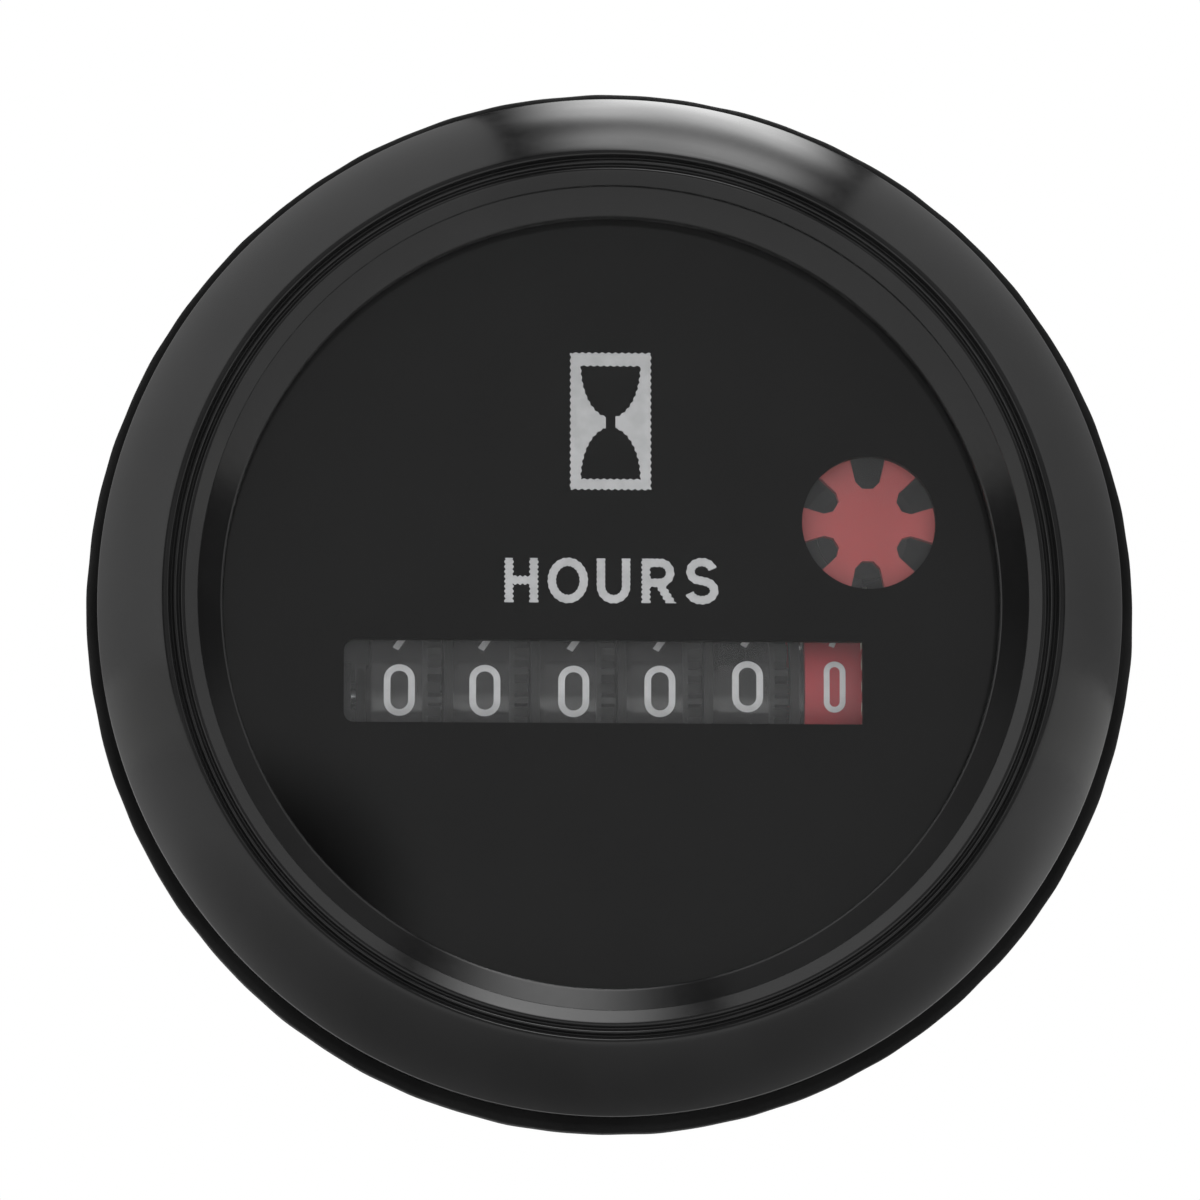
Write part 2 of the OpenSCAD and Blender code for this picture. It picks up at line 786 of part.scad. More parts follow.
// Points of the thread's section at one angle of the helix
function thread_ring(a, half_turn) =
    let (
        slope = tan(pressure),
        mid = worm_lead * a / 360 + half_turn,
        half = worm_lead / 4 - tooth_play / 4,
        sunk_r = worm_core_r - 2 * tooth_play,
        at = function (r, s) concat(polar(r, a), mid + s * (half - (r - worm_r) * slope))
    )
    [at(sunk_r, -1), at(worm_tip_r, -1), at(worm_tip_r, 1), at(sunk_r, 1)];

// Right-hand thread whose gap lies on the wheel's line of centres
module worm_thread() {
    steps_a_turn = 24;
    steps = worm_turns * steps_a_turn;
    first_a = -180 * worm_turns - 180;
    points = [
        for (k = [0:steps])
            each thread_ring(first_a + 360 * k / steps_a_turn, worm_lead / 2)
    ];
    sides = [
        for (k = [0:steps - 1])
            for (j = [0:3])
                let (n = (j + 1) % 4)
                [4 * k + j, 4 * k + n, 4 * k + 4 + n, 4 * k + 4 + j]
    ];
    ends = [[3, 2, 1, 0], [for (j = [0:3]) 4 * steps + j]];
    polyhedron(points, concat(sides, ends));
}

module drive_worm() {
    worm_half = worm_lead * (worm_turns + 1) / 2;
    color("#e4e2d8") movement() difference() {
        translate([arbor_p[0], counter_y, arbor_p[1]]) rotate([0, 90, 0]) rotate([-90, 0, 0]) {
            translate([0, 0, -worm_half]) cylinder(h = 2 * worm_half, r = worm_core_r);
            worm_thread();
        }
        rod_y(arbor_p, arbor_r + fixed_fit, counter_y - 2 * worm_half, counter_y + 2 * worm_half);
    }
}

// Train gear on its arbor, with a tooth turned to the given angle
module train_gear(p, teeth, m, y, w, turn, bore) {
    facing(y, w) translate(p) difference() {
        rotate(turn) gear_2d(teeth, m);
        circle(bore);
    }
}

module arbor_gear() {
    turn = arbor_to_gear + 180 / arbor_teeth;
    color("#c9a24a") movement()
        train_gear(arbor_p, arbor_teeth, arbor_module, low_gear_y, train_w, turn, arbor_r + fixed_fit);
}

module intermediate_gear() {
    bore = small_arbor_r + fixed_fit;
    pinion_y = low_gear_y - pinion_extra;
    color("#e4e2d8") movement() {
        train_gear(gear_p, intermediate_teeth, rotor_module, high_gear_y, train_w, gear_to_rotor, bore);
        train_gear(gear_p, pinion_teeth, arbor_module, pinion_y, high_gear_y - pinion_y,
            arbor_to_gear + 180, bore);
    }
}

module intermediate_arbor() {
    color("#b9bcc0") movement()
        rod_y(gear_p, small_arbor_r, plate_y + pivot_in, bridge_rear_y - pivot_in);
}

module rotor_pinion() {
    color("#e4e2d8") movement() {
        rod_y(rotor_p, small_arbor_r, plate_y + pivot_in, bridge_rear_y - pivot_in);
        train_gear(rotor_p, pinion_teeth, rotor_module, high_gear_y - pinion_extra,
            train_w + 2 * pinion_extra, gear_to_rotor + 180 + 180 / pinion_teeth, small_arbor_r / 2);
    }
}

module rotor_magnet() {
    front_y = stator_y - magnet_reach;
    rear_y = core_y + magnet_reach;
    color("#55585c") movement() difference() {
        rod_y(rotor_p, magnet_r, front_y, rear_y);
        rod_y(rotor_p, small_arbor_r + fixed_fit, front_y - cut, rear_y + cut);
    }
}

module stator_plate() {
    top = arm_z + arm_h;
    color("#8d9196") movement() difference() {
        facing(stator_y, stator_t) difference() {
            union() {
                translate(rotor_p - [stator_half_w, top]) square([2 * stator_half_w, 2 * top]);
                for (z = [-top, arm_z])
                    translate(coil_p + [-core_w / 2, z])
                        square([coil_distance + core_w / 2, arm_h]);
            }
            translate(rotor_p) circle(magnet_r + air_gap);
        }
        for (s = [-1, 1])
            rod_y(coil_p + [0, s * arm_mid], screw_r + fixed_fit, stator_y - cut, core_y + cut);
    }
}

module coil_core() {
    color("#8d9196") movement() difference() {
        facing(core_y, core_t)
            translate(coil_p - [core_w / 2, arm_z + arm_h])
                square([core_w, 2 * (arm_z + arm_h)]);
        for (s = [-1, 1])
            rod_y(coil_p + [0, s * arm_mid], screw_r + fixed_fit, core_y - cut, core_y + core_t + cut);
    }
}

// Column along Z around the coil core
module coil_column(r, half) {
    translate([coil_p[0], coil_y, coil_p[1] - half]) cylinder(h = 2 * half, r = r);
}

// Square bar along Z around the coil core
module coil_bar(wall, half) {
    translate([coil_p[0], coil_y, coil_p[1]])
        cube([core_w + 2 * wall, core_t + 2 * wall, 2 * half], center = true);
}

module coil_bobbin() {
    half = coil_len / 2;
    color("#d8d6cc") movement() difference() {
        union() {
            coil_bar(bobbin_wall, half);
            difference() {
                coil_column(bobbin_r, half);
                coil_column(bobbin_r + cut, half - flange_w);
            }
        }
        coil_bar(fixed_fit, half + cut);
        for (s = [-1, 1]) coil_pin(s, fixed_fit);
    }
}

module coil_winding() {
    half = coil_len / 2 - flange_w;
    color("#b5653a") movement() difference() {
        coil_column(winding_r, half);
        coil_bar(bobbin_wall, half + cut);
    }
}

// Contact pin from a bobbin flange to the board
module coil_pin(s, fit) {
    rod_y(coil_p + [core_w / 2, s * (coil_len - flange_w) / 2], coil_pin_r + fit,
        coil_y + core_t / 2 + bobbin_wall, board_rear_y + coil_pin_end);
}

module coil_pins() {
    color("#c9ccd0") movement() for (s = [-1, 1]) coil_pin(s, 0);
}

module stator_screws() {
    color("#a9adb2") movement() for (s = [-1, 1]) screw(coil_p + [0, s * arm_mid], core_y + core_t, -1);
}

module train_bridge() {
    color("#c9a24a") movement() difference() {
        facing(bridge_y, bridge_t) {
            for (p = concat(posts, [gear_p, arbor_p, rotor_p])) translate(p) circle(bridge_end_r);
            for (p = [posts[0], posts[1], arbor_p, rotor_p]) bar_2d(gear_p, p, bridge_bar_half);
            for (p = [posts[1], arbor_p]) bar_2d(posts[2], p, bridge_bar_half);
        }
        for (p = posts) rod_y(p, screw_r + stud_fit, bridge_y - cut, bridge_rear_y + cut);
        rod_y(arbor_p, arbor_r + running, bridge_y - cut, bridge_rear_y + cut);
        rod_y(gear_p, small_arbor_r + running, bridge_y - cut, bridge_rear_y + cut);
        rod_y(rotor_p, small_arbor_r + running, bridge_y - cut, bridge_rear_y + cut);
    }
}

module bridge_screws() {
    color("#a9adb2") movement() for (p = posts) screw(p, bridge_rear_y, -1);
}

module plate_screws() {
    color("#a9adb2") movement() for (a = boss_angles) screw(polar(boss_ring, a), plate_y, 1);
}

module circuit_board() {
    color("#1f5a38") difference() {
        movement() difference() {
            rod_y([0, 0], board_r, board_y, board_rear_y);
            for (p = board_posts) rod_y(p, screw_r + stud_fit, board_y - cut, board_rear_y + cut);
            for (s = [-1, 1]) coil_pin(s, fixed_fit);
        }
        for (s = [-1, 1]) blade_slot(s, blade_tail_w, deep(board_y), movement_scale * board_t);
    }
}

module quartz_crystal() {
    color("#c9ccd0") movement()
        translate([crystal_p[0] - crystal_len / 2, board_rear_y + crystal_r, crystal_p[1]])
            rotate([0, 90, 0]) cylinder(h = crystal_len, r = crystal_r);
}

module driver_chip() {
    color("#2a2a2c") movement()
        translate([chip_p[0] - chip[0] / 2, board_rear_y, chip_p[1] - chip[1] / 2])
            cube([chip[0], chip[2], chip[1]]);
}

module capacitor() {
    color("#2c3f7a") movement()
        rod_y(capacitor_p, capacitor_r, board_rear_y, board_rear_y + capacitor_h);
}

module series_resistor() {
    color("#c8b48a") movement()
        translate([resistor_p[0] - resistor_len / 2, board_rear_y + resistor_r, resistor_p[1]])
            rotate([0, 90, 0]) cylinder(h = resistor_len, r = resistor_r);
}

module board_screws() {
    color("#a9adb2") movement() for (p = board_posts) screw(p, board_y, 1);
}

// Blade with a tail in the board, shoulders inside the rear wall and a bevelled tip
module blade_terminal(s) {
    tip_y = back_y + blade_out;
    shoulder_y = inner_y - blade_shoulder_h;
    tail_y = deep(board_y) - blade_tail / 2;
    color("#c9ccd0") difference() {
        translate([s * blade_pitch / 2, 0, blade_z - blade_t / 2]) linear_extrude(blade_t) {
            translate([-blade_tail_w / 2, tail_y])
                square([blade_tail_w, shoulder_y - tail_y + blade_shoulder_h / 2]);
            translate([-blade_w / 2 - blade_shoulder, shoulder_y])
                square([blade_w + 2 * blade_shoulder, blade_shoulder_h]);
            polygon([
                [-blade_w / 2, shoulder_y], [blade_w / 2, shoulder_y],
                [blade_w / 2, tip_y - blade_bevel], [blade_w / 2 - blade_bevel, tip_y],
                [-blade_w / 2 + blade_bevel, tip_y], [-blade_w / 2, tip_y - blade_bevel]
            ]);
        }
        translate([s * blade_pitch / 2, tip_y - blade_hole_in, blade_z - blade_t])
            cylinder(h = 2 * blade_t, r = blade_hole_r);
    }
}

module positive_terminal() {
    blade_terminal(1);
}

module negative_terminal() {
    blade_terminal(-1);
}

module mounting_studs() {
    color("#b9bcc0") for (s = [-1, 1]) {
        rod_y([s * stud_pitch / 2, 0], stud_r, inner_y - stud_head_h, back_y + stud_out);
        rod_y([s * stud_pitch / 2, 0], stud_head_r, inner_y - stud_head_h, inner_y);
    }
}

// Rectangle with round rear corners, open to the front
module u_2d(half_w, front_y, rear_y, r) {
    translate([-half_w, front_y]) square([2 * half_w, rear_y - front_y - r]);
    translate([-half_w + r, front_y]) square([2 * (half_w - r), rear_y - front_y]);
    for (s = [-1, 1]) translate([s * (half_w - r), rear_y - r]) circle(r);
}

module mounting_bracket() {
    color("#a9adb2") difference() {
        translate([0, 0, -strap_w / 2]) linear_extrude(strap_w) difference() {
            u_2d(leg_out_x, panel_t, bracket_rear_y, bend_r);
            u_2d(leg_in_x, panel_t - cut, bracket_y, bend_r - strap_t);
        }
        for (s = [-1, 1])
            rod_y([s * stud_pitch / 2, 0], stud_r + stud_fit, bracket_y - cut, bracket_rear_y + cut);
    }
}

module spring_washers() {
    color("#a9adb2") facing(bracket_rear_y, washer_t)
        for (s = [-1, 1]) translate([s * stud_pitch / 2, 0]) difference() {
            circle(stud_r + washer_reach);
            circle(stud_r + seat_fit);
            translate([-washer_split / 2, 0]) square([washer_split, stud_r + washer_reach + cut]);
        }
}

module stud_nuts() {
    nut_y = bracket_rear_y + washer_t;
    color("#b9bcc0") for (s = [-1, 1]) difference() {
        facing(nut_y, nut_t) translate([s * stud_pitch / 2, 0])
            circle(nut_af / 2 / cos(30), $fn = 6);
        rod_y([s * stud_pitch / 2, 0], stud_r + fixed_fit, nut_y - cut, nut_y + nut_t + cut);
    }
}

bezel();
lens();
lens_gasket();
dial_plate();
panel_gasket();
case();
main_plate();
counter_shaft();
pinion_shaft();
ten_thousands_wheel();
thousands_wheel();
hundreds_wheel();
tens_wheel();
units_wheel();
tenths_wheel();
ten_thousands_pinion();
thousands_pinion();
hundreds_pinion();
tens_pinion();
units_pinion();
indicator_wheel();
worm_arbor();
drive_worm();
arbor_gear();
intermediate_gear();
intermediate_arbor();
rotor_pinion();
rotor_magnet();
stator_plate();
coil_core();
coil_bobbin();
coil_winding();
coil_pins();
stator_screws();
train_bridge();
bridge_screws();
plate_screws();
circuit_board();
quartz_crystal();
driver_chip();
capacitor();
series_resistor();
board_screws();
positive_terminal();
negative_terminal();
mounting_studs();
mounting_bracket();
spring_washers();
stud_nuts();
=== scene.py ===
"""Looks of the round panel hour meter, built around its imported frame: metres, front towards -Y, Z up."""

import json
import math

import bmesh
import bpy
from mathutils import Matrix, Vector
from mathutils.geometry import delaunay_2d_cdt


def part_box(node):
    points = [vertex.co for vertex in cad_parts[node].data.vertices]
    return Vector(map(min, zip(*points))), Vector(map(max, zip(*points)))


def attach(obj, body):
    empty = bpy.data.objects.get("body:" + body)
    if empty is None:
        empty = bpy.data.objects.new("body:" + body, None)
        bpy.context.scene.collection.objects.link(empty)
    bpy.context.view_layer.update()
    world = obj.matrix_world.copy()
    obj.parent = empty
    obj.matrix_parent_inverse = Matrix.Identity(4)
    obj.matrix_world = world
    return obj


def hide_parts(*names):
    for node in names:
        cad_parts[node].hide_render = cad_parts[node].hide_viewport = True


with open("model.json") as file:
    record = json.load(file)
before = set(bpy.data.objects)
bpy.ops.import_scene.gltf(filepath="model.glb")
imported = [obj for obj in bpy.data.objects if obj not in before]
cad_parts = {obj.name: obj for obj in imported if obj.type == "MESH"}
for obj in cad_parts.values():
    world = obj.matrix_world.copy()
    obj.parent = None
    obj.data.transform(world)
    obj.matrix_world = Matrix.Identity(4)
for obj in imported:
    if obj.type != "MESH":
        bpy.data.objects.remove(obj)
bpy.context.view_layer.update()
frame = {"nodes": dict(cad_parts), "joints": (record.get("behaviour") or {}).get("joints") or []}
nodes = frame["nodes"]

# Lengths below are in millimetres and become metres where a mesh is made
MM = 0.001

# Places and radii read from the frame
bezel_low, bezel_high = (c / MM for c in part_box("bezel"))
gasket_low, gasket_high = (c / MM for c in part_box("panel_gasket"))
lens_low, lens_high = (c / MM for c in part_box("lens"))
dial_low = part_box("dial_plate")[0] / MM
case_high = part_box("case")[1] / MM
stud_low, stud_high = (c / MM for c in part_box("mounting_studs"))
nut_low, nut_high = (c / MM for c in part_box("stud_nuts"))
bezel_r = bezel_high.x
gasket_r = gasket_high.x
crest_y = bezel_low.y
bezel_rear_y = bezel_high.y
lens_front_y = lens_low.y
lens_r = lens_high.x
dial_front_y = dial_low.y

# Bezel section
FLANK = 2.0
DOME_BULGE = 0.35
DOME_IN_R = 26.15
# Points of the dome left out where the rounding of its crest runs into it
DOME_SKIP = 2
CREST_IN_R = 25.86
GROOVE_PITCH = 0.44
GROOVE_DEPTH = 0.4
WALL_TOP_R = 25.0
WALL_TOP_DROP = 0.75
CREASE_R = 24.1
APERTURE_R = 22.65
LIP_T = 0.6
LIP_RISE = 0.82
LIP_UNDERCUT = 0.3
LENS_POCKET_R = lens_r + 0.1
SKIRT_T = 1.3
ROLL_T = 0.6
ROLL_IN_R = 27.2
FLANGE_ROOM = 1.0
edge_y = bezel_rear_y - FLANK

# Counter
WHEELS = ("ten_thousands", "thousands", "hundreds", "tens", "units", "tenths")
WHEEL_R = 5.8
wheel_joint = {j["child"]: Vector(j["pos_m"]) / MM for j in frame["joints"]}
WHEEL_PITCH = wheel_joint["thousands"].x - wheel_joint["ten_thousands"].x
BAND_SHIFT = -0.3
BAND_HALF = 1.65
BAND_EDGE = 0.12

# Camera, from the photograph's framing
AZIMUTH = math.radians(-2.7)
ELEVATION = math.radians(-7.5)
CAMERA_DISTANCE = 450.0
VIEW_WIDTH = 70.15
AIM_LEFT = 0.66
AIM_UP = 0.20
SENSOR = 36.0
CLIP_START = 10.0


# Materials

# Parts of the noise's range over which colour and roughness change
COLOUR_SPAN = (0.35, 0.65)
ROUGHNESS_SPAN = (0.3, 0.7)
BUMP_STRENGTH = 0.6
COOL_TINT = 1.02


def material(name):
    mat = bpy.data.materials.new(name)
    mat.use_nodes = True
    return mat, mat.node_tree, mat.node_tree.nodes["Principled BSDF"]


def noise(tree, size, detail=3.0, stretch=(1, 1, 1)):
    """Noise over the object's own coordinates with features of about size millimetres."""
    coord = tree.nodes.new("ShaderNodeTexCoord")
    mapping = tree.nodes.new("ShaderNodeMapping")
    texture = tree.nodes.new("ShaderNodeTexNoise")
    mapping.inputs["Scale"].default_value = stretch
    texture.inputs["Scale"].default_value = 1 / (size * MM)
    texture.inputs["Detail"].default_value = detail
    tree.links.new(coord.outputs["Object"], mapping.inputs["Vector"])
    tree.links.new(mapping.outputs["Vector"], texture.inputs["Vector"])
    return texture.outputs["Fac"]


def vary_colour(tree, shader, low, high, fac):
    ramp = tree.nodes.new("ShaderNodeValToRGB")
    ramp.color_ramp.elements[0].position = COLOUR_SPAN[0]
    ramp.color_ramp.elements[0].color = (*low, 1)
    ramp.color_ramp.elements[1].position = COLOUR_SPAN[1]
    ramp.color_ramp.elements[1].color = (*high, 1)
    tree.links.new(fac, ramp.inputs["Fac"])
    tree.links.new(ramp.outputs["Color"], shader.inputs["Base Color"])


def vary_roughness(tree, shader, low, high, fac):
    span = tree.nodes.new("ShaderNodeMapRange")
    span.inputs["From Min"].default_value = ROUGHNESS_SPAN[0]
    span.inputs["From Max"].default_value = ROUGHNESS_SPAN[1]
    span.inputs["To Min"].default_value = low
    span.inputs["To Max"].default_value = high
    tree.links.new(fac, span.inputs["Value"])
    tree.links.new(span.outputs["Result"], shader.inputs["Roughness"])


def add_bump(tree, shader, fac, height):
    bump = tree.nodes.new("ShaderNodeBump")
    bump.inputs["Strength"].default_value = BUMP_STRENGTH
    bump.inputs["Distance"].default_value = height * MM
    tree.links.new(fac, bump.inputs["Height"])
    tree.links.new(bump.outputs["Normal"], shader.inputs["Normal"])


def surface(name, low, high, rough, grain=0.3, height=0.004, patch=6.0, metal=0.0, stretch=(1, 1, 1),
            specular=0.5):
    """Procedural finish: colour in soft patches, roughness and bump in a fine grain."""
    mat, tree, shader = material(name)
    shader.inputs["Metallic"].default_value = metal
    shader.inputs["Specular IOR Level"].default_value = specular
    vary_colour(tree, shader, low, high, noise(tree, patch, stretch=stretch))
    fine = noise(tree, grain, 4.0, stretch)
    vary_roughness(tree, shader, rough[0], rough[1], fine)
    add_bump(tree, shader, fine, height)
    return mat


def grey(value):
    return (value, value, value * COOL_TINT)


def clear_lens():
    mat, tree, shader = material("clear_lens")
    shader.inputs["Base Color"].default_value = (0.97, 0.98, 0.98, 1)
    shader.inputs["Transmission Weight"].default_value = 1.0
    shader.inputs["IOR"].default_value = 1.49
    vary_roughness(tree, shader, 0.0, 0.012, noise(tree, 3.0))
    path = tree.nodes.new("ShaderNodeLightPath")
    either = tree.nodes.new("ShaderNodeMath")
    either.operation = "MAXIMUM"
    tree.links.new(path.outputs["Is Shadow Ray"], either.inputs[0])
    tree.links.new(path.outputs["Is Diffuse Ray"], either.inputs[1])
    clear = tree.nodes.new("ShaderNodeBsdfTransparent")
    mix = tree.nodes.new("ShaderNodeMixShader")
    tree.links.new(either.outputs["Value"], mix.inputs["Fac"])
    tree.links.new(shader.outputs["BSDF"], mix.inputs[1])
    tree.links.new(clear.outputs["BSDF"], mix.inputs[2])
    tree.links.new(mix.outputs["Shader"], tree.nodes["Material Output"].inputs["Surface"])
    return mat


def window_haze():
    """Clear part of the dial sheet, with a faint haze."""
    mat, tree, shader = material("window_haze")
    vary_colour(tree, shader, grey(0.38), grey(0.46), noise(tree, 2.0))
    shader.inputs["Roughness"].default_value = 0.6
    shader.inputs["Specular IOR Level"].default_value = 0.1
    shader.inputs["Alpha"].default_value = 0.045
    return mat


def number_wheel():
    """Black wheels in a row along X: a polished band under the numbers and matt sides between them."""
    mat, tree, shader = material("number_wheel_black")
    coord = tree.nodes.new("ShaderNodeTexCoord")
    split = tree.nodes.new("ShaderNodeSeparateXYZ")
    within = tree.nodes.new("ShaderNodeMath")
    within.operation = "PINGPONG"
    within.inputs[1].default_value = WHEEL_PITCH / 2 * MM
    start = tree.nodes.new("ShaderNodeMath")
    start.operation = "SUBTRACT"
    start.inputs[1].default_value = (wheel_joint[WHEELS[0]].x + BAND_SHIFT) * MM
    band = tree.nodes.new("ShaderNodeMapRange")
    band.inputs["From Min"].default_value = (BAND_HALF + BAND_EDGE) * MM
    band.inputs["From Max"].default_value = (BAND_HALF - BAND_EDGE) * MM
    tree.links.new(coord.outputs["Object"], split.inputs["Vector"])
    tree.links.new(split.outputs["X"], start.inputs[0])
    tree.links.new(start.outputs["Value"], within.inputs[0])
    tree.links.new(within.outputs["Value"], band.inputs["Value"])
    polish = band.outputs["Result"]
    shader.inputs["Specular IOR Level"].default_value = 1.0
    vary_colour(tree, shader, grey(0.008), grey(0.016), polish)
    vary_roughness(tree, shader, 0.6, 0.15, polish)
    add_bump(tree, shader, noise(tree, 0.2, 4.0), 0.002)
    return mat


BEZEL = surface("bezel_gloss_black", grey(0.007), grey(0.010), (0.12, 0.16), grain=0.5, height=0.001)
RUBBER = surface("rubber_black", grey(0.005), grey(0.009), (0.55, 0.7), grain=0.25, height=0.02,
                 specular=0.15)
DIAL = surface("dial_black", grey(0.0020), grey(0.0030), (0.5, 0.6), grain=0.12, height=0.003,
               specular=0.08)
CASE = surface("case_satin_black", grey(0.014), grey(0.020), (0.35, 0.5), grain=0.18, height=0.012)
PRINT = surface("print_white", grey(0.46), grey(0.53), (0.6, 0.75), grain=0.1, height=0.004, patch=0.8)
# White of the numbers, painted lighter than the dial's print to make up for the shade inside the counter
# window
SHADE_LIFTED_NUMBER_PRINT = surface("number_white_lifted_for_shade", grey(0.68), grey(0.76), (0.6, 0.75), grain=0.1, height=0.004,
                       patch=0.8)
NUMBER_WHEEL = number_wheel()
RED_WHEEL = surface("wheel_red", (0.42, 0.018, 0.03), (0.48, 0.024, 0.038), (0.35, 0.45), grain=0.2)
INDICATOR = surface("indicator_red", (0.44, 0.05, 0.052), (0.52, 0.06, 0.062), (0.4, 0.5), grain=0.2)
GREY_PLASTIC = surface("moulded_grey", grey(0.055), grey(0.07), (0.4, 0.5), grain=0.3, height=0.006)
NATURAL = surface("moulded_natural", (0.66, 0.64, 0.56), (0.74, 0.72, 0.64), (0.35, 0.5), grain=0.4)
ZINC = surface("zinc_plated", (0.50, 0.51, 0.53), (0.56, 0.57, 0.59), (0.28, 0.40), grain=0.2,
               height=0.0015, metal=1.0)
STEEL = surface("brushed_steel", (0.45, 0.46, 0.48), (0.55, 0.56, 0.58), (0.22, 0.36), grain=0.15,
                metal=1.0, stretch=(0.08, 1, 1))
BRASS = surface("machined_brass", (0.60, 0.40, 0.14), (0.70, 0.48, 0.18), (0.22, 0.36), metal=1.0)
MAGNET = surface("sintered_magnet", grey(0.09), grey(0.13), (0.4, 0.55), grain=0.15, metal=0.6)
COPPER = surface("enamelled_wire", (0.36, 0.10, 0.03), (0.52, 0.17, 0.06), (0.2, 0.32), grain=0.12,
                 height=0.02, metal=0.7, stretch=(0.1, 0.1, 1))
TINNED = surface("tin_plated", (0.58, 0.58, 0.57), (0.66, 0.66, 0.65), (0.28, 0.40), grain=0.3,
                 height=0.0015, metal=1.0)
BOARD = surface("solder_mask", (0.012, 0.075, 0.03), (0.018, 0.10, 0.042), (0.25, 0.35), grain=0.3)
CHIP = surface("moulded_epoxy", grey(0.018), grey(0.026), (0.5, 0.65), grain=0.1, height=0.008)
CAN_SLEEVE = surface("can_sleeve", (0.02, 0.035, 0.14), (0.03, 0.05, 0.18), (0.25, 0.35))
LACQUER = surface("resistor_lacquer", (0.50, 0.40, 0.22), (0.58, 0.48, 0.28), (0.3, 0.4))
LENS = clear_lens()
HAZE = window_haze()


# Meshes

# Largest part of a side that one rounding takes up
ROUND_SHARE = 0.48


def new_object(name, mesh, mat, body):
    obj = bpy.data.objects.new(name, mesh)
    bpy.context.scene.collection.objects.link(obj)
    mesh.materials.append(mat)
    for face in mesh.polygons:
        face.use_smooth = True
    weighted = obj.modifiers.new("weighted", "WEIGHTED_NORMAL")
    weighted.keep_sharp = True
    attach(obj, body)
    return obj


def fillet(corners, steps=4):
    """Closed outline from (radius, y, rounding) corners, with each corner blended over its rounding."""
    points = []
    for i, (r, y, rounding) in enumerate(corners):
        here = Vector((r, y))
        back = Vector(corners[i - 1][:2]) - here
        ahead = Vector(corners[(i + 1) % len(corners)][:2]) - here
        if rounding == 0:
            points.append(here)
            continue
        start = here + back.normalized() * min(rounding, back.length * ROUND_SHARE)
        end = here + ahead.normalized() * min(rounding, ahead.length * ROUND_SHARE)
        for k in range(steps + 1):
            t = k / steps
            points.append((1 - t) ** 2 * start + 2 * t * (1 - t) * here + t * t * end)
    return points


def lathe(name, outline, segments=256, ripple=None):
    """Closed ring turned about Y; ripple gives a change of radius at an angle and radius."""
    bm = bmesh.new()
    rings = []
    for k in range(segments):
        a = 2 * math.pi * k / segments
        ring = []
        for r, y in outline:
            radius = r + (ripple(a, r) if ripple else 0)
            ring.append(bm.verts.new((radius * math.cos(a) * MM, y * MM, radius * math.sin(a) * MM)))
        rings.append(ring)
    count = len(outline)
    for k in range(segments):
        here, after = rings[k], rings[(k + 1) % segments]
        for i in range(count):
            j = (i + 1) % count
            bm.faces.new((here[i], here[j], after[j], after[i]))
    bmesh.ops.recalc_face_normals(bm, faces=bm.faces)
    mesh = bpy.data.meshes.new(name)
    bm.to_mesh(mesh)
    bm.free()
    return mesh


def dome_points(steps=20):
    """Corners along the arc of the dome, from its crest to its edge, without its two ends."""
    chord = Vector((bezel_r - DOME_IN_R, edge_y - crest_y))
    half = chord.length / 2
    radius = (half * half + DOME_BULGE * DOME_BULGE) / (2 * DOME_BULGE)
    out = Vector((chord.y, -chord.x)).normalized()
    centre = Vector((bezel_r + DOME_IN_R, edge_y + crest_y)) / 2 - (radius - DOME_BULGE) * out
    first = math.atan2(crest_y - centre.y, DOME_IN_R - centre.x)
    last = math.atan2(edge_y - centre.y, bezel_r - centre.x)
    angles = [first + (last - first) * k / steps for k in range(1, steps)]
    return [(centre.x + radius * math.cos(a), centre.y + radius * math.sin(a), 0) for a in angles]


def make_bezel():
    lip_front_y = lens_front_y - LIP_T
    ridge_y = crest_y + GROOVE_DEPTH / 4
    floor_y = crest_y + GROOVE_DEPTH
    flange_y = bezel_rear_y - ROLL_T
    corners = [
        (APERTURE_R, lens_front_y, 0.1), (APERTURE_R, lip_front_y, 0.2),
        (CREASE_R + LIP_UNDERCUT, lip_front_y - LIP_RISE, 0.1),
        (CREASE_R, crest_y + WALL_TOP_DROP, 0.08),
        (WALL_TOP_R, ridge_y, 0.2),
        (WALL_TOP_R + GROOVE_PITCH * 0.5, floor_y, 0.12),
        (WALL_TOP_R + GROOVE_PITCH, ridge_y, 0.14),
        (WALL_TOP_R + GROOVE_PITCH * 1.5, floor_y, 0.12),
        (CREST_IN_R, crest_y, 0.08),
        (DOME_IN_R, crest_y, 0.5),
        *dome_points()[DOME_SKIP:],
        (bezel_r, edge_y, 0.12), (bezel_r, bezel_rear_y, 0.3),
        (ROLL_IN_R, bezel_rear_y, 0.15), (ROLL_IN_R, flange_y, 0.1),
        (bezel_r - SKIRT_T, flange_y, 0), (bezel_r - SKIRT_T, flange_y - FLANGE_ROOM, 0),
        (LENS_POCKET_R, flange_y - FLANGE_ROOM, 0), (LENS_POCKET_R, lens_front_y, 0),
    ]
    ring = new_object("bezel_ring", lathe("bezel_ring", fillet(corners)), BEZEL, "housing")
    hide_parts("bezel")


# How far the loose gasket has slipped sideways and down
GASKET_SLIP = (0.1, -0.06)
GASKET_W = 4.1
GASKET_SEGMENTS = 384
# Its outer edge: how far in it lies, and the count, phase and share of each wave along it
EDGE_IN = 0.12
EDGE_WAVE = 0.012
EDGE_WAVES = ((23, 0.7, 1.0), (41, 2.1, 1.0), (67, 4.0, 0.8))


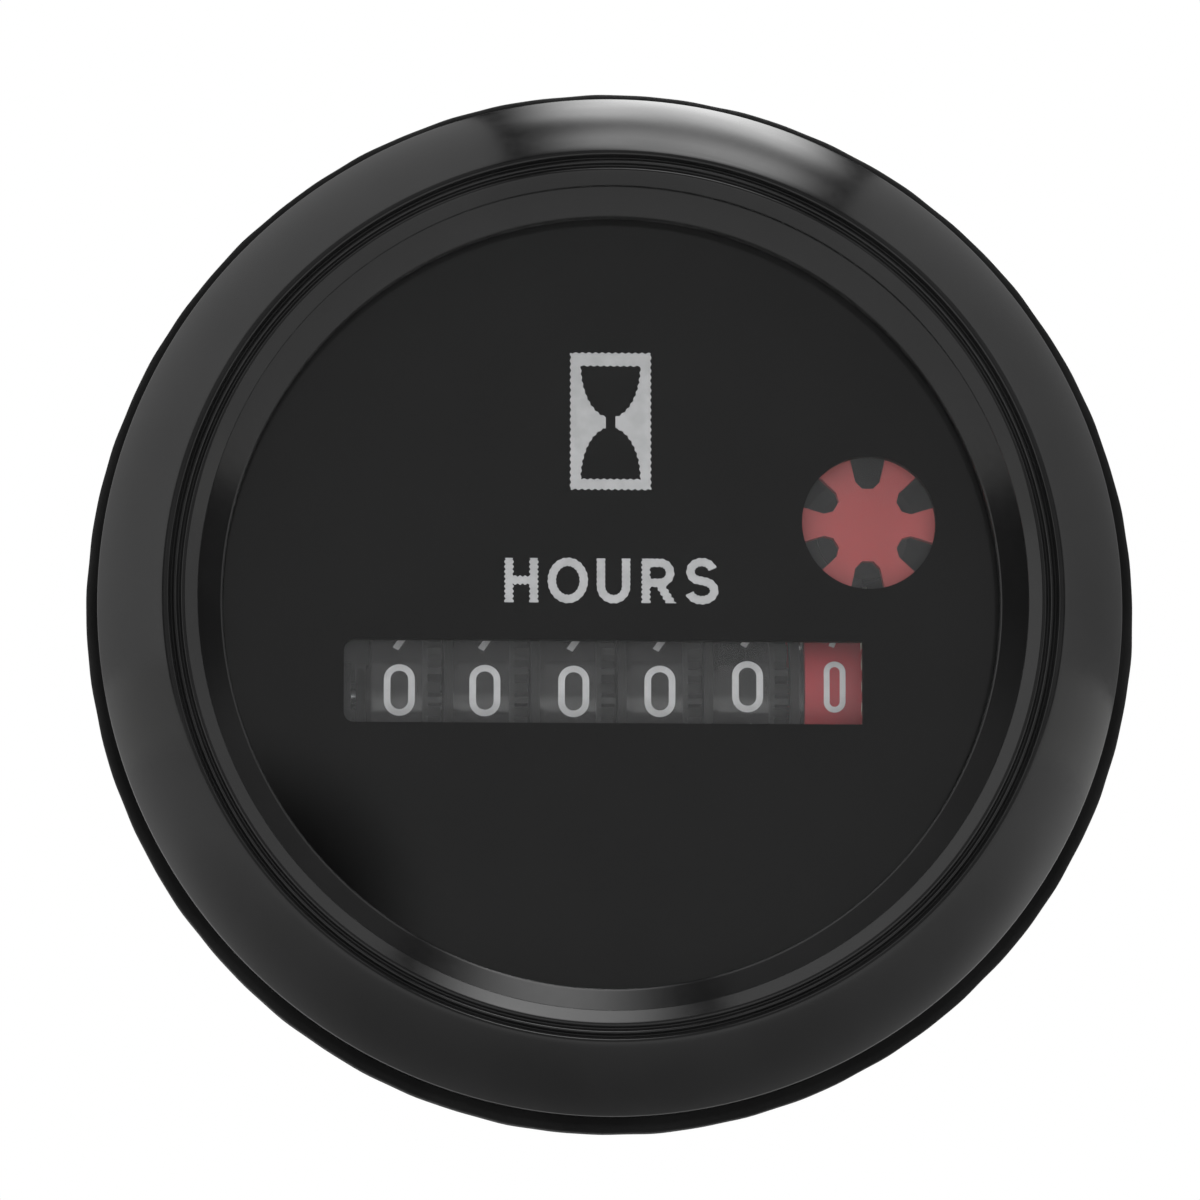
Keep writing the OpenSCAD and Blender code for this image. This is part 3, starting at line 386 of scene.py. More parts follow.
def make_panel_gasket():
    inner_r = bezel_r - GASKET_W

    def uneven_edge(a, r):
        """Small unevenness of the outer edge, always inwards."""
        if r < (inner_r + gasket_r) / 2:
            return 0
        waves = sum(share * math.sin(count * a + phase) for count, phase, share in EDGE_WAVES)
        return -EDGE_IN - EDGE_WAVE * waves

    corners = [
        (inner_r, gasket_low.y, 0.2), (inner_r, gasket_high.y, 0.2),
        (gasket_r, gasket_high.y, 0.35), (gasket_r, gasket_low.y, 0.5),
    ]
    mesh = lathe("gasket_ring", fillet(corners), GASKET_SEGMENTS, uneven_edge)
    for vertex in mesh.vertices:
        vertex.co += Vector((GASKET_SLIP[0], 0, GASKET_SLIP[1])) * MM
    ring = new_object("gasket_ring", mesh, RUBBER, "housing")
    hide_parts("panel_gasket")


make_bezel()
make_panel_gasket()


# Print: flat outlines joined into one skin, then laid on a face or round a wheel

PRINT_T = 0.02
PATH_STEP = 0.12
# Points along one wave of a wavering edge
WAVE_STEPS = 6
# A corner of a pen line is widened by this much at most
MITRE_MAX = 1.6
MITRE_COS_MIN = 0.5
# Points closer than this are joined
JOIN_GAP = 1e-5


def stepped(path, closed, step=PATH_STEP):
    """Points along a path, at most one step apart."""
    ends = path[1:] + path[:1] if closed else path[1:]
    points = []
    for a, b in zip(path, ends):
        a, b = Vector(a), Vector(b)
        count = max(1, math.ceil((b - a).length / step))
        points += [a.lerp(b, k / count) for k in range(count)]
    if not closed:
        points.append(Vector(path[-1]))
    return points


def arc(cx, cy, rx, ry, start, end, steps=20):
    """Points on an ellipse between two angles in degrees."""
    angles = [math.radians(start + (end - start) * k / steps) for k in range(steps + 1)]
    return [(cx + rx * math.cos(a), cy + ry * math.sin(a)) for a in angles]


def stroke(path, width, closed=False, wave=0.0, wave_length=0.29):
    """Triangles of a pen line along a path, with square ends and an edge that may waver a little."""
    points = stepped(path, closed, wave_length / WAVE_STEPS) if wave else stepped(path, closed)
    count = len(points)
    sides = []
    run = 0.0
    for i, p in enumerate(points):
        before = points[i - 1] if closed or i > 0 else p
        after = points[(i + 1) % count] if closed or i < count - 1 else p
        d_in, d_out = p - before, after - p
        along = d_in.normalized() if d_in.length else d_out.normalized()
        along = along + (d_out.normalized() if d_out.length else along)
        side = Vector((-along.y, along.x)).normalized()
        ahead = d_out.normalized() if d_out.length else d_in.normalized()
        across = abs(side.dot(Vector((-ahead.y, ahead.x))))
        spread = min(MITRE_MAX, 1 / max(MITRE_COS_MIN, across))
        half = width / 2 * spread + wave * math.sin(2 * math.pi * run / wave_length)
        sides.append((p + side * half, p - side * half))
        run += d_out.length
    pairs = zip(sides, sides[1:] + sides[:1]) if closed else zip(sides, sides[1:])
    return [tri for a, b in pairs for tri in ([a[0], a[1], b[1]], [a[0], b[1], b[0]])]


def turned_left(outline):
    """The outline as points, run anticlockwise."""
    points = [Vector(p) for p in outline]
    area = sum(a.x * b.y - b.x * a.y for a, b in zip(points, points[1:] + points[:1]))
    return points if area > 0 else points[::-1]


def printed(name, solids, holes, place, thickness=PRINT_T):
    """Closed thin skin of the joined solids less the holes; place turns (u, v, height) into a point."""
    points, faces = [], []
    for outline in solids + holes:
        faces.append(list(range(len(points), len(points) + len(outline))))
        points += turned_left(outline)
    flat, _, parts, _, _, sources = delaunay_2d_cdt(points, [], faces, 0, JOIN_GAP)
    kept = [
        part for part, source in zip(parts, sources)
        if any(s < len(solids) for s in source) and not any(s >= len(solids) for s in source)
    ]
    bm = bmesh.new()
    under = [bm.verts.new(place(p.x, p.y, 0) * MM) for p in flat]
    over = [bm.verts.new(place(p.x, p.y, thickness) * MM) for p in flat]
    edges = {}
    for part in kept:
        bm.faces.new([over[i] for i in part])
        bm.faces.new([under[i] for i in reversed(part)])
        for i, j in zip(part, part[1:] + part[:1]):
            edges[(i, j)] = True
    for i, j in edges:
        if (j, i) not in edges:
            bm.faces.new((over[j], over[i], under[i], under[j]))
    loose = [v for v in bm.verts if not v.link_faces]
    bmesh.ops.delete(bm, geom=loose, context="VERTS")
    bmesh.ops.recalc_face_normals(bm, faces=bm.faces)
    mesh = bpy.data.meshes.new(name)
    bm.to_mesh(mesh)
    bm.free()
    return mesh


def flat_shaded(obj):
    for face in obj.data.polygons:
        face.use_smooth = False
    return obj


def on_dial(cx, cz):
    """Places print on the front of the dial, around a centre."""
    def place(u, v, height):
        return Vector((cx + u, dial_front_y - height, cz + v))
    return place


HOURGLASS_AT = (0.0, 10.9)
HOURGLASS_FRAME = (4.73, 8.11)
BULB_HALF_W = 1.75
BULB_DEPTH = 3.07
BULB_END = 3.36
GLASS_DROP = 0.08
NECK_HALF_W = 0.285
NECK_HALF_H = 0.4
FRAME_WAVE = 0.042
BULB_WAVE = 0.036
HOURGLASS_WAVE_LENGTH = 0.39


def wavy(outline, wave):
    """Closed outline with an edge that wavers like screen print."""
    points = []
    run = 0.0
    for a, b in zip(outline, outline[1:] + outline[:1]):
        a, b = Vector(a), Vector(b)
        length = (b - a).length
        out = Vector((b.y - a.y, a.x - b.x)).normalized()
        count = max(1, math.ceil(length * WAVE_STEPS / HOURGLASS_WAVE_LENGTH))
        for k in range(count):
            phase = (run + length * k / count) / HOURGLASS_WAVE_LENGTH
            points.append(a.lerp(b, k / count) + out * wave * math.sin(2 * math.pi * phase))
        run += length
    return points


def make_hourglass():
    half_w, half_h = HOURGLASS_FRAME[0] / 2, HOURGLASS_FRAME[1] / 2
    border = [(s * half_w, t * half_h) for s, t in ((-1, -1), (1, -1), (1, 1), (-1, 1))]
    neck_angle = math.degrees(math.acos(NECK_HALF_W / BULB_HALF_W))
    top = arc(0, BULB_END, BULB_HALF_W, BULB_DEPTH, -180, -180 + neck_angle, 48)
    upper = top + [(-x, y) for x, y in reversed(top)]
    lower = [(x, -y) for x, y in upper]
    neck = [(s * NECK_HALF_W, t * NECK_HALF_H) for s, t in ((-1, -1), (1, -1), (1, 1), (-1, 1))]
    glass = [wavy(upper, BULB_WAVE), wavy(lower, BULB_WAVE), neck]
    holes = [[(x, y - GLASS_DROP) for x, y in outline] for outline in glass]
    mesh = printed("hourglass_print", [wavy(border, FRAME_WAVE)], holes, on_dial(*HOURGLASS_AT))
    flat_shaded(new_object("hourglass_print", mesh, PRINT, "housing"))


make_hourglass()

LEGEND_AT = (0.06, 1.45)
CAP_H = 2.62
PEN = 0.485
STEM_WAVE = 0.045
CURVE_WAVE = 0.022
# Round letters reach this far past the straight ones
OVERSHOOT = 0.03


def legend_strokes():
    """Solid pen lines of the word HOURS, and the hole that cuts the leg of its R at the base line."""
    half = PEN / 2
    low, high, middle = half, CAP_H - half, CAP_H / 2
    h_w, o_w, u_w, r_w, s_w = 1.94, 2.36, 1.96, 2.12, 1.95
    gaps = (0.57, 0.52, 0.68, 0.42)
    h_x = 0.0
    o_x = h_x + h_w + gaps[0]
    u_x = o_x + o_w + gaps[1]
    r_x = u_x + u_w + gaps[2]
    s_x = r_x + r_w + gaps[3]
    bowl_w = 1.9
    bowl_low = 1.2
    bowl_r = (high - bowl_low) / 2
    foot = 0.3
    turn_x = r_x + bowl_w - half - bowl_r
    u_r = u_w / 2 - half
    s_mid, s_r = s_x + s_w / 2, s_w / 2 - half
    s_ry = (high - low) / 4
    lines = [
        ([(h_x + half, 0), (h_x + half, CAP_H)], False),
        ([(h_x + h_w - half, 0), (h_x + h_w - half, CAP_H)], False),
        ([(h_x + half, middle), (h_x + h_w - half, middle)], False),
        (arc(o_x + o_w / 2, middle, o_w / 2 - half, high - middle + OVERSHOOT, 0, 350, 35), True),
        ([(u_x + half, CAP_H)] + arc(u_x + u_w / 2, low + u_r, u_r, u_r + OVERSHOOT, 180, 360)
         + [(u_x + u_w - half, CAP_H)], False),
        ([(r_x + half, 0), (r_x + half, CAP_H)], False),
        ([(r_x + half, high)] + arc(turn_x, (high + bowl_low) / 2, bowl_r, bowl_r, 90, -90)
         + [(r_x + half, bowl_low)], False),
        ([(r_x + 1.0, bowl_low), (r_x + r_w - half, -foot)], False),
        (arc(s_mid, high - s_ry + OVERSHOOT, s_r * 0.9, s_ry + OVERSHOOT, 15, 235, 24)
         + arc(s_mid, low + s_ry - OVERSHOOT, s_r, s_ry + OVERSHOOT, 65, -165, 24), False),
    ]
    below = [(r_x, -2 * foot), (r_x + r_w + foot, -2 * foot), (r_x + r_w + foot, 0), (r_x, 0)]
    width = s_x + s_w

    def centred(path):
        return [(x - width / 2, y - CAP_H / 2) for x, y in path]

    solids = []
    for path, closed in lines:
        wave = STEM_WAVE if len(path) == 2 else CURVE_WAVE
        solids += stroke(centred(path), PEN, closed, wave)
    return solids, [centred(below)]


def make_legend():
    mesh = printed("hours_print", *legend_strokes(), on_dial(*LEGEND_AT))
    flat_shaded(new_object("hours_print", mesh, PRINT, "housing"))


make_legend()

# Numbers round the wheels
NUMBER_PEN = 0.39
NUMBER_H = 3.05
NUMBER_W = 1.82
RED_PEN = 0.34
RED_NUMBER_W = 1.28
NUMBER_SHIFT = (-0.02, -0.10, 0.02, -0.01, 0.05, 0.08)
NUMBER_LIFT = (-0.32, -0.33, -0.35, -0.32, -0.01, 0.0)


def number_paths(a, b):
    """Pen lines of the digits 0 to 9 in a box of half width a and half height b."""
    leg = [(-0.32 * a, -0.84 * b), (0.86 * a, 0.18 * b)]
    bowl = arc(0, 0.42 * b, a, 0.58 * b, 0, 350, 35)
    return [
        [(arc(0, b - a, a, a, 0, 180) + arc(0, a - b, a, a, 180, 360), True)],
        [([(-0.55 * a, 0.5 * b), (0.15 * a, 0.88 * b), (0.15 * a, -b)], False)],
        [(arc(0, b - a, a, a, 165, -30) + [(-a, -b), (a, -b)], False)],
        [(arc(0, 0.5 * b, 0.92 * a, 0.5 * b, 150, -90)
          + arc(0, -0.5 * b, a, 0.5 * b, 90, -150)[1:], False)],
        [([(0.4 * a, -b), (0.4 * a, b), (-a, -0.35 * b), (a, -0.35 * b)], False)],
        [([(0.85 * a, b), (-0.75 * a, b), (-0.85 * a, 0.08 * b)]
          + arc(0, -0.36 * b, a, 0.64 * b, 125, -150), False)],
        [([(-x, -y) for x, y in bowl], True), ([(-x, -y) for x, y in leg], False)],
        [([(-a, b), (a, b), (-0.3 * a, -b)], False)],
        [(arc(0, 0.52 * b, 0.86 * a, 0.48 * b, 0, 350, 35), True),
         (arc(0, -0.48 * b, a, 0.52 * b, 0, 350, 35), True)],
        [(bowl, True), (leg, False)],
    ]


def round_wheel(centre, shift):
    """Places print round a number wheel; v runs up the front of the wheel."""
    def place(u, v, height):
        a = v / WHEEL_R
        r = WHEEL_R + height
        return centre + Vector((u + shift, -r * math.cos(a), r * math.sin(a)))
    return place


def make_numbers():
    digit_step = 2 * math.pi * WHEEL_R / 10
    for i, wheel in enumerate(WHEELS):
        red = wheel == "tenths"
        pen = RED_PEN if red else NUMBER_PEN
        half_w = ((RED_NUMBER_W if red else NUMBER_W) - pen) / 2
        strokes = []
        for digit, lines in enumerate(number_paths(half_w, (NUMBER_H - pen) / 2)):
            rise = NUMBER_LIFT[i] - digit * digit_step
            for path, closed in lines:
                strokes += stroke([(x, y + rise) for x, y in path], pen, closed)
        name = wheel + "_numbers"
        mesh = printed(name, strokes, [], round_wheel(wheel_joint[wheel], NUMBER_SHIFT[i]))
        flat_shaded(new_object(name, mesh, SHADE_LIFTED_NUMBER_PRINT, wheel))


make_numbers()

WINDOW_AT = (-0.4, -4.5)
WINDOW_HALF = (15.18, 2.43)
WINDOW_CORNER = 0.6
INDICATOR_WINDOW_R = 3.93
SHEET_DEPTH = 0.35
SHEET_T = 0.1


def make_windows():
    """Clear parts of the dial sheet in the counter window and the indicator window."""
    half_w, half_h = WINDOW_HALF
    left, high = WINDOW_CORNER - half_w, half_h - WINDOW_CORNER
    counter = [(half_w, -half_h), (half_w, half_h)]
    counter += arc(left, high, WINDOW_CORNER, WINDOW_CORNER, 90, 180, 8)
    counter += arc(left, -high, WINDOW_CORNER, WINDOW_CORNER, 180, 270, 8)
    pivot = wheel_joint["indicator"]
    disc = arc(0, 0, INDICATOR_WINDOW_R, INDICATOR_WINDOW_R, 0, 354, 59)
    sheets = (("counter_window", counter, WINDOW_AT), ("indicator_window", disc, pivot.xz))
    for name, outline, (x, z) in sheets:
        def place(u, v, height):
            return Vector((x + u, dial_front_y + SHEET_DEPTH - height, z + v))
        mesh = printed(name, [outline], [], place, SHEET_T)
        sheet = flat_shaded(new_object(name, mesh, HAZE, "housing"))
        sheet.visible_shadow = False


make_windows()


# Clamp behind the panel: threaded studs and chamfered nuts

STUD_R = 2.0
STUD_HEAD_R = 3.2
STUD_HEAD_H = 1.2
STUD_TIP = 0.6
TIP_SLOPE = 0.8
# How far inside the case the thread starts
THREAD_SINK = 1.0
THREAD_PITCH = 0.7
THREAD_DEPTH = 0.38
THREAD_STEPS = 6
NUT_AF = 7.0
NUT_FACE = 0.96
NUT_BORE_R = 2.06
NUT_CHAMFER = math.radians(30)
stud_x = stud_high.x - STUD_HEAD_R


def sharpened(bm, name, angle=35):
    """Mesh of the finished faces, with its edges sharp above an angle in degrees."""
    bmesh.ops.recalc_face_normals(bm, faces=bm.faces)
    mesh = bpy.data.meshes.new(name)
    bm.to_mesh(mesh)
    bm.free()
    for face in mesh.polygons:
        face.use_smooth = True
    mesh.set_sharp_from_angle(angle=math.radians(angle))
    return mesh


def skin(bm, rings, closed):
    """Quads between rings of as many points each; closed joins the last ring to the first."""
    pairs = zip(rings, rings[1:] + rings[:1]) if closed else zip(rings, rings[1:])
    for here, after in pairs:
        count = len(here)
        for k in range(count):
            bm.faces.new((here[k], here[(k + 1) % count], after[(k + 1) % count], after[k]))


def stud_sections():
    """Radius, place along the stud and depth of thread at each section."""
    head_y = stud_low.y + STUD_HEAD_H
    start_y = case_high.y - THREAD_SINK
    sections = [
        (STUD_HEAD_R, stud_low.y, 0), (STUD_HEAD_R, head_y, 0), (STUD_R, head_y, 0),
        (STUD_R, start_y, 0),
    ]
    count = math.floor((stud_high.y - start_y) / THREAD_PITCH * THREAD_STEPS)
    for k in range(1, count + 1):
        y = start_y + (stud_high.y - start_y) * k / count
        taper = max(0, y - stud_high.y + STUD_TIP)
        depth = THREAD_DEPTH * min(1, k / THREAD_STEPS) * (1 - taper / STUD_TIP)
        sections.append((STUD_R - taper * TIP_SLOPE, y, depth))
    return sections


def make_studs(segments=36):
    bm = bmesh.new()
    for x in (-stud_x, stud_x):
        rings = []
        for r, y, depth in stud_sections():
            ring = []
            for k in range(segments):
                a = 2 * math.pi * k / segments
                turn = (y / THREAD_PITCH - k / segments) % 1
                radius = r - depth * (1 - abs(2 * turn - 1))
                ring.append(bm.verts.new(Vector((x + radius * math.cos(a), y, radius * math.sin(a))) * MM))
            rings.append(ring)
        skin(bm, rings, False)
        bm.faces.new(rings[0])
        bm.faces.new(rings[-1])
    studs = new_object("threaded_studs", sharpened(bm, "threaded_studs"), ZINC, "housing")
    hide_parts("mounting_studs")


def make_nuts(segments=72):
    face_r = NUT_AF / 2 * NUT_FACE
    bm = bmesh.new()
    for x in (-stud_x, stud_x):
        rings = []
        for k in range(segments):
            a = 2 * math.pi * k / segments
            flat_r = NUT_AF / 2 / math.cos(a % (math.pi / 3) - math.pi / 6)
            drop = (flat_r - face_r) * math.tan(NUT_CHAMFER)
            section = [
                (NUT_BORE_R, nut_low.y), (face_r, nut_low.y), (flat_r, nut_low.y + drop),
                (flat_r, nut_high.y - drop), (face_r, nut_high.y), (NUT_BORE_R, nut_high.y),
            ]
            rings.append([
                bm.verts.new(Vector((x + r * math.cos(a), y, r * math.sin(a))) * MM) for r, y in section
            ])
        skin(bm, rings, True)
    nuts = new_object("chamfered_nuts", sharpened(bm, "chamfered_nuts", 20), ZINC, "housing")
    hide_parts("stud_nuts")


MARK_DROP = 3.2
MARK_HALF = 1.3
MARK_PEN = 0.6
MARK_RISE = 0.25


def make_polarity_marks():
    """Raised plus and minus beside the blades."""
    bar = [(-MARK_HALF, 0), (MARK_HALF, 0)]
    post = [(0, -MARK_HALF), (0, MARK_HALF)]
    for terminal, lines in (("positive_terminal", (bar, post)), ("negative_terminal", (bar,))):
        low, high = (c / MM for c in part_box(terminal))
        centre = (low + high) / 2

        def place(u, v, height):
            return Vector((centre.x + u, case_high.y + height, centre.z - MARK_DROP + v))

        outlines = [tri for line in lines for tri in stroke(line, MARK_PEN)]
        name = terminal.replace("terminal", "mark")
        mesh = printed(name, outlines, [], place, MARK_RISE)
        flat_shaded(new_object(name, mesh, CASE, "housing"))


make_studs()
make_nuts()
make_polarity_marks()


# Finish of the CAD pieces

FINISH = {
    "lens": LENS, "lens_gasket": RUBBER, "dial_plate": DIAL, "case": CASE, "main_plate": GREY_PLASTIC,
    "counter_shaft": STEEL, "pinion_shaft": STEEL, "tenths_wheel": RED_WHEEL, "indicator_wheel": INDICATOR,
    "worm_arbor": STEEL, "drive_worm": GREY_PLASTIC, "arbor_gear": BRASS, "intermediate_gear": NATURAL,
    "intermediate_arbor": STEEL, "rotor_pinion": NATURAL, "rotor_magnet": MAGNET, "stator_plate": STEEL,
    "coil_core": STEEL, "coil_bobbin": NATURAL, "coil_winding": COPPER, "coil_pins": TINNED,
    "stator_screws": ZINC, "train_bridge": BRASS, "bridge_screws": ZINC, "plate_screws": ZINC,
    "circuit_board": BOARD, "quartz_crystal": ZINC, "driver_chip": CHIP, "capacitor": CAN_SLEEVE,
    "series_resistor": LACQUER, "board_screws": ZINC, "positive_terminal": TINNED,
    "negative_terminal": TINNED,
    "mounting_bracket": ZINC, "spring_washers": ZINC,
}
for wheel in WHEELS[:-1]:
    FINISH[wheel + "_wheel"] = NUMBER_WHEEL
    FINISH[wheel + "_pinion"] = GREY_PLASTIC
for name, mat in FINISH.items():
    mesh = nodes[name].data
    mesh.materials.clear()
    mesh.materials.append(mat)
nodes["lens"].visible_shadow = False

# Broken edges of the CAD pieces that show, as the width of each
EDGES = {
    "case": 0.7, "mounting_bracket": 0.18, "spring_washers": 0.1, "positive_terminal": 0.07,
    "negative_terminal": 0.07,
}
WELD_GAP = 0.001
FLAT_ANGLE = math.radians(0.2)
EDGE_ANGLE = math.radians(40)
for name, width in EDGES.items():
    weld = nodes[name].modifiers.new("joined_faces", "WELD")
    weld.merge_threshold = WELD_GAP * MM
    whole = nodes[name].modifiers.new("whole_faces", "DECIMATE")
    whole.decimate_type = "DISSOLVE"
    whole.angle_limit = FLAT_ANGLE
    bevel = nodes[name].modifiers.new("broken_edge", "BEVEL")
    bevel.width = width * MM
    bevel.segments = 3
    bevel.limit_method = "ANGLE"
    bevel.angle_limit = EDGE_ANGLE
    bevel.use_clamp_overlap = False
    bevel.harden_normals = True

# Only the rim of the tenths wheel is red: its hub is black and its worm teeth are left natural
RED_HALF = 1.66
tenths_mesh = nodes["tenths_wheel"].data
tenths_mesh.materials.append(NUMBER_WHEEL)
tenths_mesh.materials.append(NATURAL)
for face in tenths_mesh.polygons:
    off_x = face.center.x / MM - wheel_joint["tenths"].x
    face.material_index = 0 if abs(off_x) < RED_HALF else 1 if off_x < 0 else 2


# Studio: white surroundings, a pale floor, and cards that the camera doesn't see. The grey one in front and
# the dim one below show only in reflections, and the bright one overhead lights the object too

FLOOR_DROP = 95.0
FLOOR_HALF = 4000.0
WORLD_FILL = 1.02
MIRRORED_FADE = 0.6
MIRRORED_FADE_SPAN = (-0.3, 0.8)
MIRRORED_RIGHT_FADE = 0.3
MIRRORED_RIGHT_FROM = 0.2
FRONT_Y = -800.0
FRONT_HALF = 1200.0
FRONT_VEIL_AT = (38.0, 106.0)
FRONT_VEIL_R = 420.0
FRONT_VEIL_CORE = 0.55
FRONT_LEVEL = (0.26, 0.215)
SHADE_AT = (-20.0, 55.0)
SHADE_R = 31.0
SHADE_LEVEL = 0.1
SHADE_CORE = 0.6
SIDE_SHADE_AT = (930.0, 100.0)
SIDE_SHADE_REACH = (480.0, 420.0)
SIDE_SHADE_LEVEL = 0.2
TOP_Z = 520.0
TOP_AT = (100.0, 150.0)
TOP_HALF = (190.0, 900.0)
TOP_LEVEL = 3.5
TOP_CORE = 0.6
TOP_CLOUD_SIZE = 170.0
TOP_CLOUD_LEVEL = (0.5, 1.5)
TOP_DIM_AT = (0.0, -40.0)
TOP_DIM_REACH = (3000.0, 130.0)
TOP_DIM = 0.4
LOW_Z = -70.0
LOW_HALF = 300.0
LOW_AT = (0.0, 10.0)
LOW_REACH = (190.0, 95.0)
LOW_LEVEL = (0.75, 0.22)


def make_floor():
    mat = surface("pale_floor", (0.78, 0.78, 0.77), (0.82, 0.82, 0.81), (0.7, 0.8), grain=8.0, patch=300.0)
    half = FLOOR_HALF * MM
    mesh = bpy.data.meshes.new("floor")
    z = -FLOOR_DROP * MM
    corners = [(-half, -half, z), (half, -half, z), (half, half, z), (-half, half, z)]
    mesh.from_pydata(corners, [], [(0, 1, 2, 3)])
    mesh.materials.append(mat)
    floor = bpy.data.objects.new("floor", mesh)
    bpy.context.scene.collection.objects.link(floor)


def glow(name):
    mat = bpy.data.materials.new(name)
    mat.use_nodes = True
    tree = mat.node_tree
    tree.nodes.clear()
    light = tree.nodes.new("ShaderNodeEmission")
    out = tree.nodes.new("ShaderNodeOutputMaterial")
    tree.links.new(light.outputs["Emission"], out.inputs["Surface"])
    return mat, tree, light.inputs["Strength"]


def spot(tree, centre, reach, rim, middle, core=1.0):
    """Level that goes from rim to middle towards a centre on a card, reached at a part of the way in."""
    coord = tree.nodes.new("ShaderNodeTexCoord")
    mapping = tree.nodes.new("ShaderNodeMapping")
    mapping.vector_type = "TEXTURE"
    mapping.inputs["Location"].default_value = (centre[0] * MM, centre[1] * MM, 0)
    mapping.inputs["Scale"].default_value = (reach[0] * MM, reach[1] * MM, 1)
    ball = tree.nodes.new("ShaderNodeTexGradient")
    ball.gradient_type = "SPHERICAL"
    span = tree.nodes.new("ShaderNodeMapRange")
    span.interpolation_type = "SMOOTHSTEP"
    span.inputs["From Max"].default_value = core
    span.inputs["To Min"].default_value = rim
    span.inputs["To Max"].default_value = middle
    tree.links.new(coord.outputs["Object"], mapping.inputs["Vector"])
    tree.links.new(mapping.outputs["Vector"], ball.inputs["Vector"])
    tree.links.new(ball.outputs["Fac"], span.inputs["Value"])
    return span.outputs["Result"]


def product(tree, a, b):
    times = tree.nodes.new("ShaderNodeMath")
    times.operation = "MULTIPLY"
    tree.links.new(a, times.inputs[0])
    tree.links.new(b, times.inputs[1])
    return times.outputs["Value"]


def add_card(name, mat, half, location, turn):
    """Flat card in its own XY plane, hidden from the camera and without a shadow."""
    mesh = bpy.data.meshes.new(name)
    corners = [(s * half[0] * MM, t * half[1] * MM, 0) for s, t in ((-1, -1), (1, -1), (1, 1), (-1, 1))]
    mesh.from_pydata(corners, [], [(0, 1, 2, 3)])
    mesh.materials.append(mat)
    card = bpy.data.objects.new(name, mesh)
    card.location = Vector(location) * MM
    card.rotation_euler = (math.radians(turn), 0, 0)
    bpy.context.scene.collection.objects.link(card)
    card.visible_camera = False
    card.visible_shadow = False
    return card


def make_front_card():
    mat, tree, strength = glow("front_card")
    veil = spot(tree, FRONT_VEIL_AT, (FRONT_VEIL_R, FRONT_VEIL_R), *FRONT_LEVEL, core=FRONT_VEIL_CORE)
    shade = spot(tree, SHADE_AT, (SHADE_R, SHADE_R), 1.0, SHADE_LEVEL, core=SHADE_CORE)
    level = product(tree, veil, shade)
    for side in (-1, 1):
        at = (side * SIDE_SHADE_AT[0], SIDE_SHADE_AT[1])
        side_shade = spot(tree, at, SIDE_SHADE_REACH, 1.0, SIDE_SHADE_LEVEL, core=SHADE_CORE)
        level = product(tree, level, side_shade)
    tree.links.new(level, strength)
    card = add_card("front_card", mat, (FRONT_HALF, FRONT_HALF), (0, FRONT_Y, 0), 90)
    card.visible_diffuse = False


def make_top_card():
    mat, tree, strength = glow("top_card")
    soft = spot(tree, (0, 0), TOP_HALF, 0.0, TOP_LEVEL, core=TOP_CORE)
    cloud = tree.nodes.new("ShaderNodeMapRange")
    cloud.inputs["To Min"].default_value = TOP_CLOUD_LEVEL[0]
    cloud.inputs["To Max"].default_value = TOP_CLOUD_LEVEL[1]
    tree.links.new(noise(tree, TOP_CLOUD_SIZE, 2.0), cloud.inputs["Value"])
    dim = spot(tree, TOP_DIM_AT, TOP_DIM_REACH, 1.0, TOP_DIM)
    tree.links.new(product(tree, product(tree, soft, dim), cloud.outputs["Result"]), strength)
    add_card("top_card", mat, TOP_HALF, (TOP_AT[0], TOP_AT[1], TOP_Z), 0)


def make_low_card():
    mat, tree, strength = glow("low_card")
    tree.links.new(spot(tree, LOW_AT, LOW_REACH, *LOW_LEVEL), strength)
    card = add_card("low_card", mat, (LOW_HALF, LOW_HALF), (0, 0, LOW_Z), 0)
    card.visible_diffuse = False
    card.visible_transmission = False


